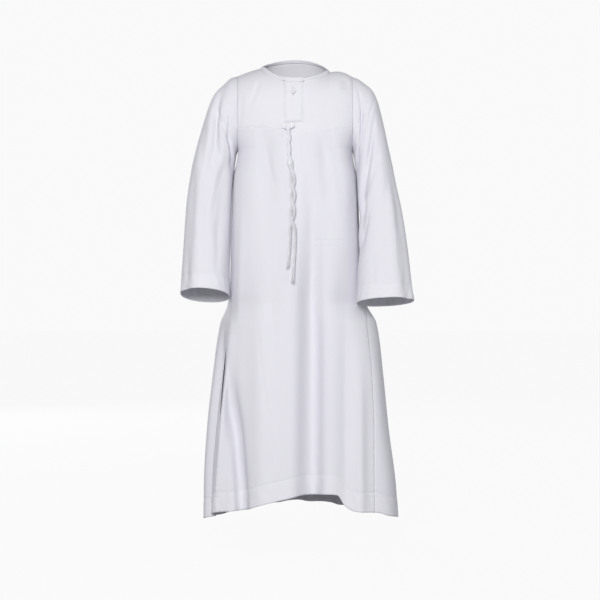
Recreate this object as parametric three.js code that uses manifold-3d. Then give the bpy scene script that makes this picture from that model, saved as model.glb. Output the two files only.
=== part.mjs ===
// A child's ankle-length white kandura: a loose robe with a round neckband, a front placket
// with one button and a long two-tailed tassel, straight sleeves and flared side gores.
// It keeps the hollow form that it takes when it is worn with the arms hanging down.
// Units are millimetres. -Y is the front, +Z up, and +X the side that the names call right: left
// and right are as seen from the front, facing the wearer. The origin is the middle of the neck
// opening, where the wearer holds the garment up.
import * as THREE from "three";
import Module from "manifold-3d";

// ---- driving dimensions -------------------------------------------------------------------
const CLOTH = 1.2; // wall of a single layer
const HEM_CLOTH = 2.0; // wall where the cloth is turned up and doubled
const FACING_CLOTH = 1.0; // wall of the facing behind the chest
const SEAM_GAP = 0.3; // between two pieces at a seam
const LAY_GAP = 0.5; // between a panel and what lies on it
const HEM_DEPTH = 34; // turned-up hem of the skirt
const TURN_STEP = 0.8; // height of the step where a turned-up hem ends

const ARMHOLE = { left: -106, right: 99 }; // x of the flat armhole seams
const ARMHOLE_MIDDLE = (ARMHOLE.left + ARMHOLE.right) / 2;
const ARMHOLE_HALF = (ARMHOLE.right - ARMHOLE.left) / 2;
const CHEST_Z = -84; // widest level of the armholes; the shoulders round over above it
const ARMHOLE_REACH = { front: 46, back: 44 }; // of an armhole from the middle, at chest level
const ARMHOLE_DROP = 66; // from chest level down to the underarm
const UNDERARM_Z = CHEST_Z - ARMHOLE_DROP;
const GORE_TOP_HALF = 8; // half width of a gore where it meets the underarm
const SHOULDER_Y = 4; // the shoulder seams lie a little behind the middle
const SHOULDER_Z = { left: -14.5, right: -16 }; // ends of the shoulder seams at the armholes
const SHOULDER_CROWN = { left: 0.8, right: 5 }; // how far a shoulder seam arches over a straight line

// The neckline's sides lie at sideZ, and tilt takes the right one lower and the left one higher.
const NECK = { x: -3, half: 63, front: -54, back: 50, sideZ: -4.5, tilt: -3.5, crownZ: 9, backZ: 15 };
const BACK_LEAN = (58 * Math.PI) / 180; // how far the middle of the back leans in at its top
const NECK_SHARE = 4 / 7; // share of a panel's width, from the middle, that ends at the neck
const NECKBAND = { height: 6, cloth: 1.8, lean: 0.3, sideLean: 0.9, clear: 0.6, lift: 1.6, out: 2.4 };
const NECKBAND_TURNS = { start: -11, ramp: 332, lapped: 347, end: 372.4 }; // degrees round the neck

const PLACKET = { left: -21.5, right: 10.6, bottom: -104, cloth: 1.4 };
const SLIT_U = -0.0146; // place of the front slit behind the placket, across the front
const SLIT_HALF = 0.003; // half its width, as a share of the front's half width
const SLIT_FOOT_Z = -106; // foot of the slit
const FACING_EDGE_Z = { middle: -124, side: -112 }; // lower edge of the facing
const FACING_SHARE = 0.95; // share of the front's width that the facing backs
const BUTTON = { x: -7, z: -50, radius: 5.2, height: 2.4, well: 3.5, floor: 1.3, edge: 0.6 };
const BUTTON_HOLES = { radius: 0.65, apart: 1.15 }; // four, each this far across and up from the middle

// ---- the body, level by level: reach to each side, depth to front and back, squareness -------
const BODY = [
  { z: -60, left: -106.2, right: 99.2, front: 66, back: 60, square: 2.5 },
  { z: -84, left: -106.2, right: 99.2, front: 66, back: 60, square: 2.5 },
  { z: -150, left: -106.2, right: 99.2, front: 72, back: 65, square: 2.5 },
  { z: -170, left: -108.4, right: 101.3, front: 74, back: 66, square: 2.55 },
  { z: -200, left: -113.5, right: 106.5, front: 77, back: 68, square: 2.9 },
  { z: -300, left: -117, right: 112, front: 85, back: 75, square: 2.9 },
  { z: -400, left: -121.5, right: 121, front: 91, back: 85, square: 2.2 },
  { z: -425, left: -124.5, right: 125, front: 92.5, back: 88, square: 2 },
  { z: -460, left: -138, right: 143, front: 95, back: 91, square: 2.2 },
  { z: -550, left: -151, right: 155, front: 101, back: 99, square: 2.2 },
  { z: -650, left: -162, right: 167, front: 108, back: 109, square: 2.1 },
  { z: -740, left: -167, right: 179, front: 114, back: 117, square: 2.1 },
  { z: -815, left: -168, right: 185, front: 119, back: 123, square: 2.1 },
];

// Where the gores are sewn to the front and the back.
const GORE_SEAMS = [
  { z: -150, left: -106, right: 99 },
  { z: -200, left: -111, right: 104 },
  { z: -300, left: -114.5, right: 111.5 },
  { z: -400, left: -117, right: 119.5 },
  { z: -460, left: -123, right: 124 },
  { z: -650, left: -135.5, right: 134 },
  { z: -815, left: -140.5, right: 136 },
];

// Height of the hem's edge, by the turn round the body in degrees: 0 is the middle of the front
// and 90 the middle of the right side.
const HEM_EDGE = [
  { turn: -180, z: -790 },
  { turn: -150, z: -798 },
  { turn: -122, z: -812 },
  { turn: -100, z: -812 },
  { turn: -84, z: -808 },
  { turn: -66, z: -797 },
  { turn: -53, z: -790 },
  { turn: -42, z: -787 },
  { turn: -32, z: -782 },
  { turn: -23, z: -774 },
  { turn: -11, z: -765 },
  { turn: 5, z: -756 },
  { turn: 15, z: -755 },
  { turn: 21, z: -757 },
  { turn: 27, z: -779 },
  { turn: 32, z: -786 },
  { turn: 50, z: -791 },
  { turn: 60, z: -798 },
  { turn: 90, z: -806 },
  { turn: 125, z: -806 },
  { turn: 155, z: -797 },
  { turn: 180, z: -790 },
];

// Main folds of the body. A fold runs from its top to its bottom place, given as x on the front or
// the back, or as a turn in degrees. It starts at zStart, has its full depth from zFull to zFade
// and is gone at zEnd. Depth is outwards, so a valley's is negative.
const TO_HEM = { zFade: -900, zEnd: -950 };
const BODY_FOLDS = [
  { face: "front", top: 26, bottom: 17, zStart: -180, zFull: -560, ...TO_HEM, half: 19, depth: -20 },
  { face: "front", top: 50, bottom: 50, zStart: -250, zFull: -620, ...TO_HEM, half: 16, depth: 3 },
  { face: "front", top: 86, bottom: 84, zStart: -330, zFull: -660, ...TO_HEM, half: 14, depth: -4 },
  { face: "front", top: 108, bottom: 110, zStart: -450, zFull: -640, ...TO_HEM, half: 12, depth: 6 },
  { face: "front", top: -116, bottom: -86, zStart: -540, zFull: -640, ...TO_HEM, half: 11, depth: -15 },
  { face: "front", top: -112, bottom: -143, zStart: -420, zFull: -600, ...TO_HEM, half: 10, depth: 8 },
  { face: "front", top: -66, bottom: -58, zStart: -300, zFull: -640, ...TO_HEM, half: 20, depth: 7 },
  { face: "front", top: -56, bottom: -30, zStart: -96, zFull: -150,
    zFade: -200, zEnd: -310, half: 13, depth: -6 },
  { face: "front", top: 44, bottom: 110, zStart: -96, zFull: -160,
    zFade: -210, zEnd: -310, half: 12, depth: -6 },
  { place: "turn", top: -66, bottom: -74, zStart: -420, zFull: -600, ...TO_HEM, half: 12, depth: -18 },
  { place: "turn", top: -106, bottom: -110, zStart: -160, zFull: -190,
    zFade: -300, zEnd: -400, half: 15, depth: 4 },
  { place: "turn", top: 106, bottom: 110, zStart: -160, zFull: -190,
    zFade: -270, zEnd: -390, half: 15, depth: 3 },
  { place: "turn", top: 58, bottom: 58, zStart: -450, zFull: -560, ...TO_HEM, half: 24, depth: 5 },
  { place: "turn", top: 88, bottom: 88, zStart: -500, zFull: -700, ...TO_HEM, half: 13, depth: -4 },
  { face: "back", top: -78, bottom: -92, zStart: -260, zFull: -640, ...TO_HEM, half: 15, depth: -22 },
  { face: "back", top: -34, bottom: -38, zStart: -170, zFull: -600, ...TO_HEM, half: 16, depth: -18 },
  { face: "back", top: 24, bottom: 22, zStart: -150, zFull: -560, ...TO_HEM, half: 17, depth: -23 },
  { face: "back", top: 74, bottom: 84, zStart: -280, zFull: -650, ...TO_HEM, half: 14, depth: -20 },
];
const FOLD_BOTTOM_Z = -815; // level at which a fold has its bottom place

// ---- the sleeves, ring by ring, from the armhole to the cuff's edge ---------------------------
// Each ring runs through its outer and its inner point, seen from the front, and reaches as far
// forward and back of its middle y. Its back edge hangs lower by drop. The cuff's turned-up hem
// begins at the last ring but one.
const SLEEVES = {
  left: [
    { outerX: -106.3, outerZ: -14.5, innerX: -106.3, innerZ: -150, y: 0, reach: 46, drop: 0 },
    { outerX: -119, outerZ: -18.5, innerX: -106.8, innerZ: -151.6, y: -0.5, reach: 46, drop: 0 },
    { outerX: -134, outerZ: -32, innerX: -107.6, innerZ: -154, y: -1, reach: 45.5, drop: 0 },
    { outerX: -147, outerZ: -46, innerX: -108.7, innerZ: -158, y: -2, reach: 45, drop: 0 },
    { outerX: -157, outerZ: -66, innerX: -109.9, innerZ: -164.5, y: -3.5, reach: 44, drop: 0 },
    { outerX: -165, outerZ: -90, innerX: -111.3, innerZ: -174, y: -5, reach: 43, drop: 1 },
    { outerX: -172.5, outerZ: -115, innerX: -113, innerZ: -187, y: -7, reach: 41.5, drop: 2 },
    { outerX: -180, outerZ: -142, innerX: -114.6, innerZ: -203, y: -9.5, reach: 40.5, drop: 4 },
    { outerX: -187.5, outerZ: -172, innerX: -116, innerZ: -222, y: -12.5, reach: 40, drop: 6 },
    { outerX: -193.5, outerZ: -205, innerX: -117.2, innerZ: -245, y: -15.5, reach: 40, drop: 9 },
    { outerX: -198, outerZ: -240, innerX: -118.2, innerZ: -271, y: -18.5, reach: 40.5, drop: 12 },
    { outerX: -201, outerZ: -279, innerX: -119.2, innerZ: -301, y: -23, reach: 41.5, drop: 15 },
    { outerX: -203.5, outerZ: -322, innerX: -119.9, innerZ: -335, y: -29, reach: 43.5, drop: 19 },
    { outerX: -206, outerZ: -368, innerX: -120.1, innerZ: -373, y: -36, reach: 45.5, drop: 23 },
    { outerX: -207.5, outerZ: -394, innerX: -119.6, innerZ: -399, y: -40, reach: 46.5, drop: 25 },
  ],
  right: [
    { outerX: 99.3, outerZ: -16, innerX: 99.3, innerZ: -150, y: 0, reach: 46, drop: 0 },
    { outerX: 108, outerZ: -19.5, innerX: 99.8, innerZ: -151.6, y: -1, reach: 46, drop: 0 },
    { outerX: 122, outerZ: -30, innerX: 100.5, innerZ: -154, y: -2.5, reach: 45.5, drop: 0 },
    { outerX: 134, outerZ: -41, innerX: 101.4, innerZ: -158, y: -4.5, reach: 45, drop: 0 },
    { outerX: 143, outerZ: -60, innerX: 102.4, innerZ: -164.5, y: -8, reach: 44, drop: 0 },
    { outerX: 149.5, outerZ: -84, innerX: 103.7, innerZ: -174, y: -12, reach: 43, drop: 1 },
    { outerX: 155.5, outerZ: -110, innerX: 105.3, innerZ: -187, y: -16.5, reach: 41.5, drop: 2 },
    { outerX: 161.5, outerZ: -138, innerX: 106.8, innerZ: -204, y: -21.5, reach: 40.5, drop: 3 },
    { outerX: 169, outerZ: -170, innerX: 107.9, innerZ: -225, y: -27, reach: 40, drop: 5 },
    { outerX: 176.5, outerZ: -208, innerX: 108.5, innerZ: -250, y: -34.5, reach: 40, drop: 7 },
    { outerX: 185.5, outerZ: -250, innerX: 108.8, innerZ: -281, y: -42, reach: 40.5, drop: 9 },
    { outerX: 192.5, outerZ: -295, innerX: 108.4, innerZ: -315, y: -50, reach: 41.5, drop: 11 },
    { outerX: 198, outerZ: -340, innerX: 107.4, innerZ: -351, y: -58, reach: 43.5, drop: 13 },
    { outerX: 202.5, outerZ: -385, innerX: 106, innerZ: -390, y: -66, reach: 45.5, drop: 15 },
    { outerX: 206.3, outerZ: -410.5, innerX: 105, innerZ: -415.3, y: -69, reach: 46.5, drop: 16 },
  ],
};
const SLEEVE_SQUARE = 2.2;
const SLEEVE_STEP_ROWS = [1.4, 1.03, 1]; // rows before the last at which the step of the hem lies
const ARMHOLE_SHAPE_RINGS = 3; // the armhole's shape gives way to a plain oval over these rings

// Folds of a sleeve: places round it in degrees (0 outer edge, 90 front, 180 inner edge) and along
// it by ring, with the same rules as the folds of the body.
const SLEEVE_FOLDS = {
  left: [
    { top: 35, bottom: 84, start: 1.4, full: 4, fade: 6, end: 11, half: 11, depth: -8 },
    { top: 70, bottom: 150, start: 0.5, full: 3, fade: 4.8, end: 7, half: 9, depth: -5 },
    { top: 128, bottom: 124, start: 4, full: 7, fade: 10, end: 13, half: 12, depth: -5 },
    { top: 40, bottom: 44, start: 7, full: 10.5, fade: 17, end: 20, half: 13, depth: -5 },
    { top: -75, bottom: -105, start: 2, full: 5, fade: 10, end: 14, half: 13, depth: -7 },
  ],
  right: [
    { top: 28, bottom: 150, start: 0.5, full: 3, fade: 4.2, end: 6.5, half: 9, depth: -6 },
    { top: 50, bottom: 150, start: 4, full: 6.5, fade: 8.5, end: 12, half: 11, depth: -8 },
    { top: 30, bottom: 42, start: 6.3, full: 10, fade: 17, end: 20, half: 14, depth: -5 },
    { top: -70, bottom: -110, start: 2, full: 5, fade: 10, end: 14, half: 13, depth: -7 },
  ],
};

// ---- the tassel ---------------------------------------------------------------------------------
// A pinched head at the foot of the placket, a two-ply cord down to a knot, and two tails of loose
// strands that wind round each other and then hang side by side.
const TASSEL_HEAD = { x: -16, z: -111.5, wide: 10.5, high: 6.5, deep: 3.6 };
const TASSEL_KNOT = { x: -12.5, z: -176, wide: 5.6, high: 5, deep: 4.6 };
const PLY = { radius: 2.3, spread: 1.9, sides: 6, steps: 12 }; // spread: from the cord's middle to a ply's
const CORD_PATH = [
  { z: -108, x: -16.5, turn: 0, lift: 6.2 },
  { z: -124, x: -14.9, turn: 100, lift: 6.4 },
  { z: -150, x: -14.7, turn: 330, lift: 6.2 },
  { z: -176, x: -12.5, turn: 540, lift: 6.2 },
];
const TAIL_PATH = [
  { z: -172, x: -12.4, spread: 2.9, turn: 0, lift: 6.2 },
  { z: -200, x: -8.6, spread: 3.1, turn: 140, lift: 6.5 },
  { z: -222, x: -7.4, spread: 3.1, turn: 270, lift: 6.5 },
  { z: -247, x: -7.6, spread: 3.1, turn: 430, lift: 6.5 },
  { z: -274, x: -8.6, spread: 3.4, turn: 590, lift: 6.5 },
  { z: -300, x: -8.2, spread: 4.1, turn: 720, lift: 5.2 },
  { z: -326, x: -8.7, spread: 4.4, turn: 720, lift: 3.8 },
  { z: -356, x: -10.9, spread: 4.9, turn: 720, lift: 3.6 },
  { z: -388, x: -12.2, spread: 4.6, turn: 720, lift: 3.6 },
];
const TAILS = [
  { side: -1, endZ: -361 },
  { side: 1, endZ: -386 },
];
const STRANDS_PER_TAIL = 5;
const STRAND_RADIUS = 0.85;
const STRAND_SPREAD = 1.75; // from a tail's middle to the middles of its strands
const STRAND_PITCH = 120; // length in which the strands of a tail turn once round it
const STRAND_STEPS = 18;
const STRAND_SIDES = 4;
const STRAND_STAGGER = 1.5; // from the end of one strand to the next

// Steps of each piece's grid.
const ACROSS = { front: 28, back: 24, gore: 8, sleeve: 22, neckband: 44, placket: 4 };
const CAP_ROWS = 5;
const BODY_ROWS_Z = [
  -640, -585, -530, -475, -425, -380, -335, -290, -245, -205, -176, -150, -128, -106, -84,
];

const WHITE = 0xe9e8f0;
const WHITE_DOUBLE = 0xf0eff5;

// ---- small helpers ---------------------------------------------------------------------------
const RAD = Math.PI / 180;
const clamp = (t) => Math.min(1, Math.max(0, t));
const lerp = (a, b, t) => a + (b - a) * t;
const smooth = (t) => clamp(t) ** 2 * (3 - 2 * clamp(t));
const signed = (v, e) => Math.sign(v) * Math.abs(v) ** e;
const V = (x, y, z) => new THREE.Vector3(x, y, z);
const steps = (from, to, count) => Array.from({ length: count + 1 }, (_, i) => lerp(from, to, i / count));

// A column of a table as a smooth function of another column, without overshoot.
function profile(rows, column, along = "z") {
  const sorted = [...rows].sort((a, b) => a[along] - b[along]);
  const x = sorted.map((r) => r[along]);
  const y = sorted.map((r) => r[column]);
  const slope = x.slice(1).map((v, i) => (y[i + 1] - y[i]) / (v - x[i]));
  const tangent = x.map((_, i) => {
    if (i === 0) return slope[0];
    if (i === x.length - 1) return slope[i - 1];
    const [before, after] = [slope[i - 1], slope[i]];
    return before * after <= 0 ? 0 : (2 * before * after) / (before + after);
  });
  return (at) => {
    const v = Math.min(x[x.length - 1], Math.max(x[0], at));
    let i = 0;
    while (i < x.length - 2 && v > x[i + 1]) i++;
    const h = x[i + 1] - x[i];
    const t = (v - x[i]) / h;
    const rise = t * t * (3 - 2 * t);
    const bend = h * t * (1 - t) * (tangent[i] * (1 - t) - tangent[i + 1] * t);
    return lerp(y[i], y[i + 1], rise) + bend;
  };
}

// How strongly a fold shows at a place along it.
const strength = (at, start, full, fade, end) =>
  smooth((at - start) / (full - start)) * (1 - smooth((at - fade) / (end - fade)));

// A point of an oval of the given squareness, as shares of its two halves. The turn is measured
// from the second half towards the first.
function oval(turn, square) {
  const [s, c] = [Math.sin(turn), Math.cos(turn)];
  const scale = (Math.abs(s) ** square + Math.abs(c) ** square) ** (-1 / square);
  return [s * scale, c * scale];
}

// ---- the surface of the body below chest level --------------------------------------------------
const bodySide = { left: profile(BODY, "left"), right: profile(BODY, "right") };
const bodyDepth = { front: profile(BODY, "front"), back: profile(BODY, "back") };
const bodySquare = profile(BODY, "square");
const goreSeam = { left: profile(GORE_SEAMS, "left"), right: profile(GORE_SEAMS, "right") };
const hemEdge = profile(HEM_EDGE, "z", "turn");

// How far the armhole reaches forward or back at a level below the chest.
function armholeReach(face, z) {
  const t = clamp((CHEST_Z - z) / ARMHOLE_DROP);
  return Math.max(GORE_TOP_HALF, ARMHOLE_REACH[face] * Math.sqrt(1 - t * t));
}

// The body's section at a level. Above the underarm it is an oval wide enough for the armhole
// planes to cut it at the armhole's reach.
function section(face, z) {
  const square = bodySquare(z);
  const depth = bodyDepth[face](z);
  if (z < UNDERARM_Z) {
    const [left, right] = [bodySide.left(z), bodySide.right(z)];
    return { middle: (left + right) / 2, half: (right - left) / 2, depth, square };
  }
  const share = (1 - (armholeReach(face, z) / depth) ** square) ** (1 / square);
  return { middle: ARMHOLE_MIDDLE, half: ARMHOLE_HALF / share, depth, square };
}

// Turn round the body at which its front or back has a given x: the front lies from -90 to 90
// degrees and the back from 90 to 270.
function turnAtX(face, x, z) {
  const s = section(face, z);
  const share = Math.min(0.9999, Math.max(-0.9999, (x - s.middle) / s.half));
  const depth = (1 - Math.abs(share) ** s.square) ** (1 / s.square);
  const turn = Math.atan2(share, face === "front" ? depth : -depth);
  return face === "back" && turn < 0 ? turn + 2 * Math.PI : turn;
}

const turnBetween = (a, b) => Math.atan2(Math.sin(a - b), Math.cos(a - b));

// The body's plain oval surface, without folds, and its outward direction.
function ovalPoint(turn, z) {
  const s = section(Math.cos(turn) >= 0 ? "front" : "back", z);
  const [across, forward] = oval(turn, s.square);
  const out = V(signed(across, s.square - 1) / s.half, -signed(forward, s.square - 1) / s.depth, 0);
  return { point: V(s.middle + s.half * across, -s.depth * forward, z), out: out.normalize(), s };
}

function bodyPoint(turn, z) {
  const { point, out, s } = ovalPoint(turn, z);
  const calm = z > UNDERARM_Z ? 1 - (Math.abs(point.x - s.middle) / ARMHOLE_HALF) ** 4 : 1;
  const depth = BODY_FOLDS.reduce((sum, fold) => {
    const amount = strength(-z, -fold.zStart, -fold.zFull, -fold.zFade, -fold.zEnd);
    if (amount === 0) return sum;
    const along = clamp((fold.zStart - z) / (fold.zStart - FOLD_BOTTOM_Z));
    const place = lerp(fold.top, fold.bottom, along);
    const middle = fold.place === "turn" ? place * RAD : turnAtX(fold.face, place, z);
    const radius = Math.hypot(s.half * Math.cos(turn), s.depth * Math.sin(turn));
    const away = (turnBetween(turn, middle) * radius) / fold.half;
    return sum + fold.depth * amount * Math.exp(-away * away);
  }, 0);
  return point.addScaledVector(out, depth * Math.max(0, calm));
}

// The turn a given share of the way, by length of cloth, between two turns at one level.
const LENGTH_STEPS = 20;
function turnByLength(from, to, share, z) {
  const turns = steps(from, to, LENGTH_STEPS);
  const points = turns.map((turn) => ovalPoint(turn, z).point);
  const reached = [0];
  for (let i = 1; i < points.length; i++) reached.push(reached[i - 1] + points[i].distanceTo(points[i - 1]));
  const goal = share * reached[LENGTH_STEPS];
  let i = 0;
  while (i < LENGTH_STEPS - 1 && goal > reached[i + 1]) i++;
  return lerp(turns[i], turns[i + 1], (goal - reached[i]) / (reached[i + 1] - reached[i]));
}

// Turn of the edge of the front or the back: at the gore's seam or, above it, at the armhole.
const edgeTurn = (face, side, z) => turnAtX(face, z < UNDERARM_Z ? goreSeam[side](z) : ARMHOLE[side], z);

// ---- the front and the back -------------------------------------------------------------------
// Turn round the neck of a column's end, 0 at the middle and a quarter at the shoulder seam. The
// columns spread out towards the seam, where the neckline runs along them.
const NECK_SPREAD = 0.28;
const neckTurn = (share) => (Math.PI / 2) * ((1 - NECK_SPREAD) * share + NECK_SPREAD * signed(share, 4));
function neckShare(turn) {
  let share = turn / (Math.PI / 2);
  for (let i = 0; i < 8; i++) {
    const slope = (Math.PI / 2) * (1 - NECK_SPREAD + 4 * NECK_SPREAD * Math.abs(share) ** 3);
    share -= (neckTurn(share) - turn) / slope;
  }
  return share;
}

const panelTurn = (face, u, z) =>
  turnByLength(edgeTurn(face, "left", z), edgeTurn(face, "right", z), (u + 1) / 2, z);

// Over the shoulders a column runs along a quarter of an oval. The front's columns are all cut
// from ovals that end over the shoulder seam; the back's end at its upper edge, where they lean in
// less the nearer they are to the middle.
function capEnd(face, u, base) {
  const away = Math.abs(u) / NECK_SHARE;
  const seamY = face === "front" ? SHOULDER_Y : SHOULDER_Y + SEAM_GAP;
  if (away >= 1) {
    const side = u < 0 ? "left" : "right";
    const t = (Math.abs(u) - NECK_SHARE) / (1 - NECK_SHARE);
    const x = lerp(NECK.x + Math.sign(u) * NECK.half, ARMHOLE[side], t);
    const neckZ = NECK.sideZ + Math.sign(u) * NECK.tilt;
    const z = lerp(neckZ, SHOULDER_Z[side], t) + SHOULDER_CROWN[side] * 4 * t * (1 - t);
    return { turn: Math.PI / 2, x, reach: seamY - base.y, z };
  }
  const turn = neckTurn(u / NECK_SHARE);
  const sideZ = NECK.sideZ + NECK.tilt * Math.sin(turn);
  const x = NECK.x + NECK.half * Math.sin(turn);
  const y = lerp(seamY, NECK[face], Math.cos(turn));
  if (face === "front") {
    const z = lerp(NECK.crownZ, sideZ, smooth(away * 1.3));
    return { turn: Math.acos((seamY - y) / (seamY - base.y)), x, reach: seamY - base.y, z };
  }
  const lean = lerp(BACK_LEAN, Math.PI / 2, smooth((away - 0.4) / 0.6));
  const rise = lerp(sideZ, NECK.backZ, Math.cos(turn) ** 1.4) - CHEST_Z;
  return { turn: lean, x, reach: (y - base.y) / (1 - Math.cos(lean)), z: CHEST_Z + rise / Math.sin(lean) };
}

// A point of the front or back: u runs from the left edge (-1) to the right (1); v is the height
// from chest level when below it, and the share of the way to the upper edge when above.
function panelPoint(face, u, v) {
  if (v <= 0) return bodyPoint(panelTurn(face, u, CHEST_Z + v), CHEST_Z + v);
  const base = bodyPoint(panelTurn(face, u, CHEST_Z), CHEST_Z);
  const end = capEnd(face, u, base);
  const turn = v * end.turn;
  const over = 1 - Math.cos(turn);
  return V(
    lerp(base.x, end.x, over / (1 - Math.cos(end.turn))),
    base.y + end.reach * over,
    lerp(CHEST_Z, end.z, Math.sin(turn)),
  );
}

// The neckline, by the turn round the neck: 0 is its front and 90 degrees its right side.
function neckline(turn) {
  const forward = Math.cos(turn) >= 0;
  const fromMiddle = Math.atan2(Math.sin(turn), Math.abs(Math.cos(turn)));
  return panelPoint(forward ? "front" : "back", NECK_SHARE * neckShare(fromMiddle), 1);
}

// Heights of the rows of the body's pieces over the hem's edge, from the edge up.
function hemRows(turn) {
  const edge = hemEdge(turnBetween(turn, 0) / RAD);
  const hemLine = edge + HEM_DEPTH;
  return [edge, hemLine, hemLine + TURN_STEP, lerp(hemLine + TURN_STEP, BODY_ROWS_Z[0], 0.5)];
}
const HEM_ROWS = 2; // rows below the step, where the cloth is double
const hemThickness = (row) => (row < HEM_ROWS ? HEM_CLOTH : CLOTH);

function panelRows(face, u) {
  const heights = [...hemRows(panelTurn(face, u, FOLD_BOTTOM_Z + HEM_DEPTH)), ...BODY_ROWS_Z];
  return [...heights.map((z) => z - CHEST_Z), ...steps(0, 1, CAP_ROWS).slice(1)];
}

// ---- walls ------------------------------------------------------------------------------------
// A closed solid from corner points and triangles, turned so that its faces look outwards.
function solid(points, faces) {
  const sixfold = ([a, b, c]) => points[a].dot(points[b].clone().cross(points[c]));
  const volume = faces.reduce((sum, face) => sum + sixfold(face), 0);
  const index = volume < 0 ? faces.map(([a, b, c]) => [a, c, b]) : faces;
  const geometry = new THREE.BufferGeometry();
  geometry.setAttribute("position", new THREE.Float32BufferAttribute(points.flatMap((p) => p.toArray()), 3));
  geometry.setIndex(index.flat());
  geometry.computeVertexNormals();
  return geometry;
}

// A wall between an outer and an inner grid of points; rims close it wherever its cells end.
function wall(outer, inner, { closed = false, keep = () => true } = {}) {
  const [across, along] = [outer.length, outer[0].length];
  const id = (i, j) => (i % across) * along + j;
  const inside = across * along;
  const faces = [];
  const edges = new Set();
  const cells = [];
  for (let i = 0; i < (closed ? across : across - 1); i++) {
    for (let j = 0; j < along - 1; j++) {
      if (keep(i, j)) cells.push([id(i, j), id(i + 1, j), id(i + 1, j + 1), id(i, j + 1)]);
    }
  }
  for (const [a, b, c, d] of cells) {
    faces.push([a, b, c], [a, c, d]);
    faces.push([a + inside, c + inside, b + inside], [a + inside, d + inside, c + inside]);
    for (const [p, q] of [[a, b], [b, c], [c, d], [d, a]]) edges.add(`${p},${q}`);
  }
  for (const edge of edges) {
    const [p, q] = edge.split(",").map(Number);
    if (edges.has(`${q},${p}`)) continue;
    faces.push([q, p, p + inside], [q, p + inside, q + inside]);
  }
  const used = [...new Set(faces.flat())];
  const renumbered = new Map(used.map((old, i) => [old, i]));
  const points = [...outer.flat(), ...inner.flat()];
  return solid(used.map((i) => points[i]), faces.map((face) => face.map((i) => renumbered.get(i))));
}

// The outward direction of a surface, from two short steps across it and along it.
const NUDGE = 1e-4;
function outward(surface, u, v, sign) {
  const du = surface(u + NUDGE, v).sub(surface(u - NUDGE, v));
  const dv = surface(u, v + NUDGE).sub(surface(u, v - NUDGE));
  return du.cross(dv).normalize().multiplyScalar(sign);
}

// The wall on a surface: rows(u) gives each column's places along, thickness(row) the wall, lift
// how far the outer face stands off, and fit may move the points of the two faces.
function surfaceWall(surface, columns, rows, { thickness, sign = 1, lift = 0, fit = (p) => p, ...rest }) {
  const outer = [];
  const inner = [];
  for (const u of columns) {
    const places = rows(u);
    const points = places.map((v) => ({ p: surface(u, v), n: outward(surface, u, v, sign) }));
    const raise = ({ p, n }, height) => p.clone().addScaledVector(n, height);
    const face = (height) => points.map((point, row) => fit(raise(point, height(row)), u, row));
    outer.push(face(() => lift));
    inner.push(face((row) => lift - thickness(row)));
  }
  return wall(outer, inner, rest);
}

// Keeps the points of a panel's edge on the body's side of its armhole plane.
function keepInside(p, u) {
  if (u === -1 && p.z > UNDERARM_Z - 1) p.x = Math.max(p.x, ARMHOLE.left);
  if (u === 1 && p.z > UNDERARM_Z - 1) p.x = Math.min(p.x, ARMHOLE.right);
  return p;
}

const garment = new THREE.Group();
function add(name, geometry, colour, roughness = 0.85) {
  const material = new THREE.MeshStandardMaterial({ color: colour, roughness, metalness: 0 });
  const mesh = new THREE.Mesh(geometry, material);
  mesh.name = name;
  garment.add(mesh);
}

// ---- front, back, gores -------------------------------------------------------------------------
const slitEdges = [SLIT_U - SLIT_HALF, SLIT_U + SLIT_HALF];
function withSlit(columns) {
  const apart = Math.abs(columns[1] - columns[0]) / 2;
  return [...columns.filter((u) => Math.abs(u - SLIT_U) > apart), ...slitEdges].sort((a, b) => a - b);
}

// Even columns across a panel, with one at each end of the neckline.
const panelColumns = (count) =>
  steps(-1, 1, count).map((u) =>
    Math.abs(Math.abs(u) - NECK_SHARE) < 1 / count ? Math.sign(u) * NECK_SHARE : u,
  );
const frontColumns = withSlit(panelColumns(ACROSS.front));
const frontSlit = frontColumns.indexOf(slitEdges[0]);
const slitRow = hemRows(0).length + BODY_ROWS_Z.indexOf(SLIT_FOOT_Z);
add(
  "front_panel",
  surfaceWall((u, v) => panelPoint("front", u, v), frontColumns, (u) => panelRows("front", u), {
    thickness: hemThickness,
    fit: keepInside,
    keep: (i, j) => i !== frontSlit || j < slitRow,
  }),
  WHITE,
);
add(
  "back_panel",
  surfaceWall((u, v) => panelPoint("back", u, v), panelColumns(ACROSS.back), (u) => panelRows("back", u), {
    thickness: hemThickness,
    sign: -1,
    fit: keepInside,
  }),
  WHITE,
);

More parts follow.
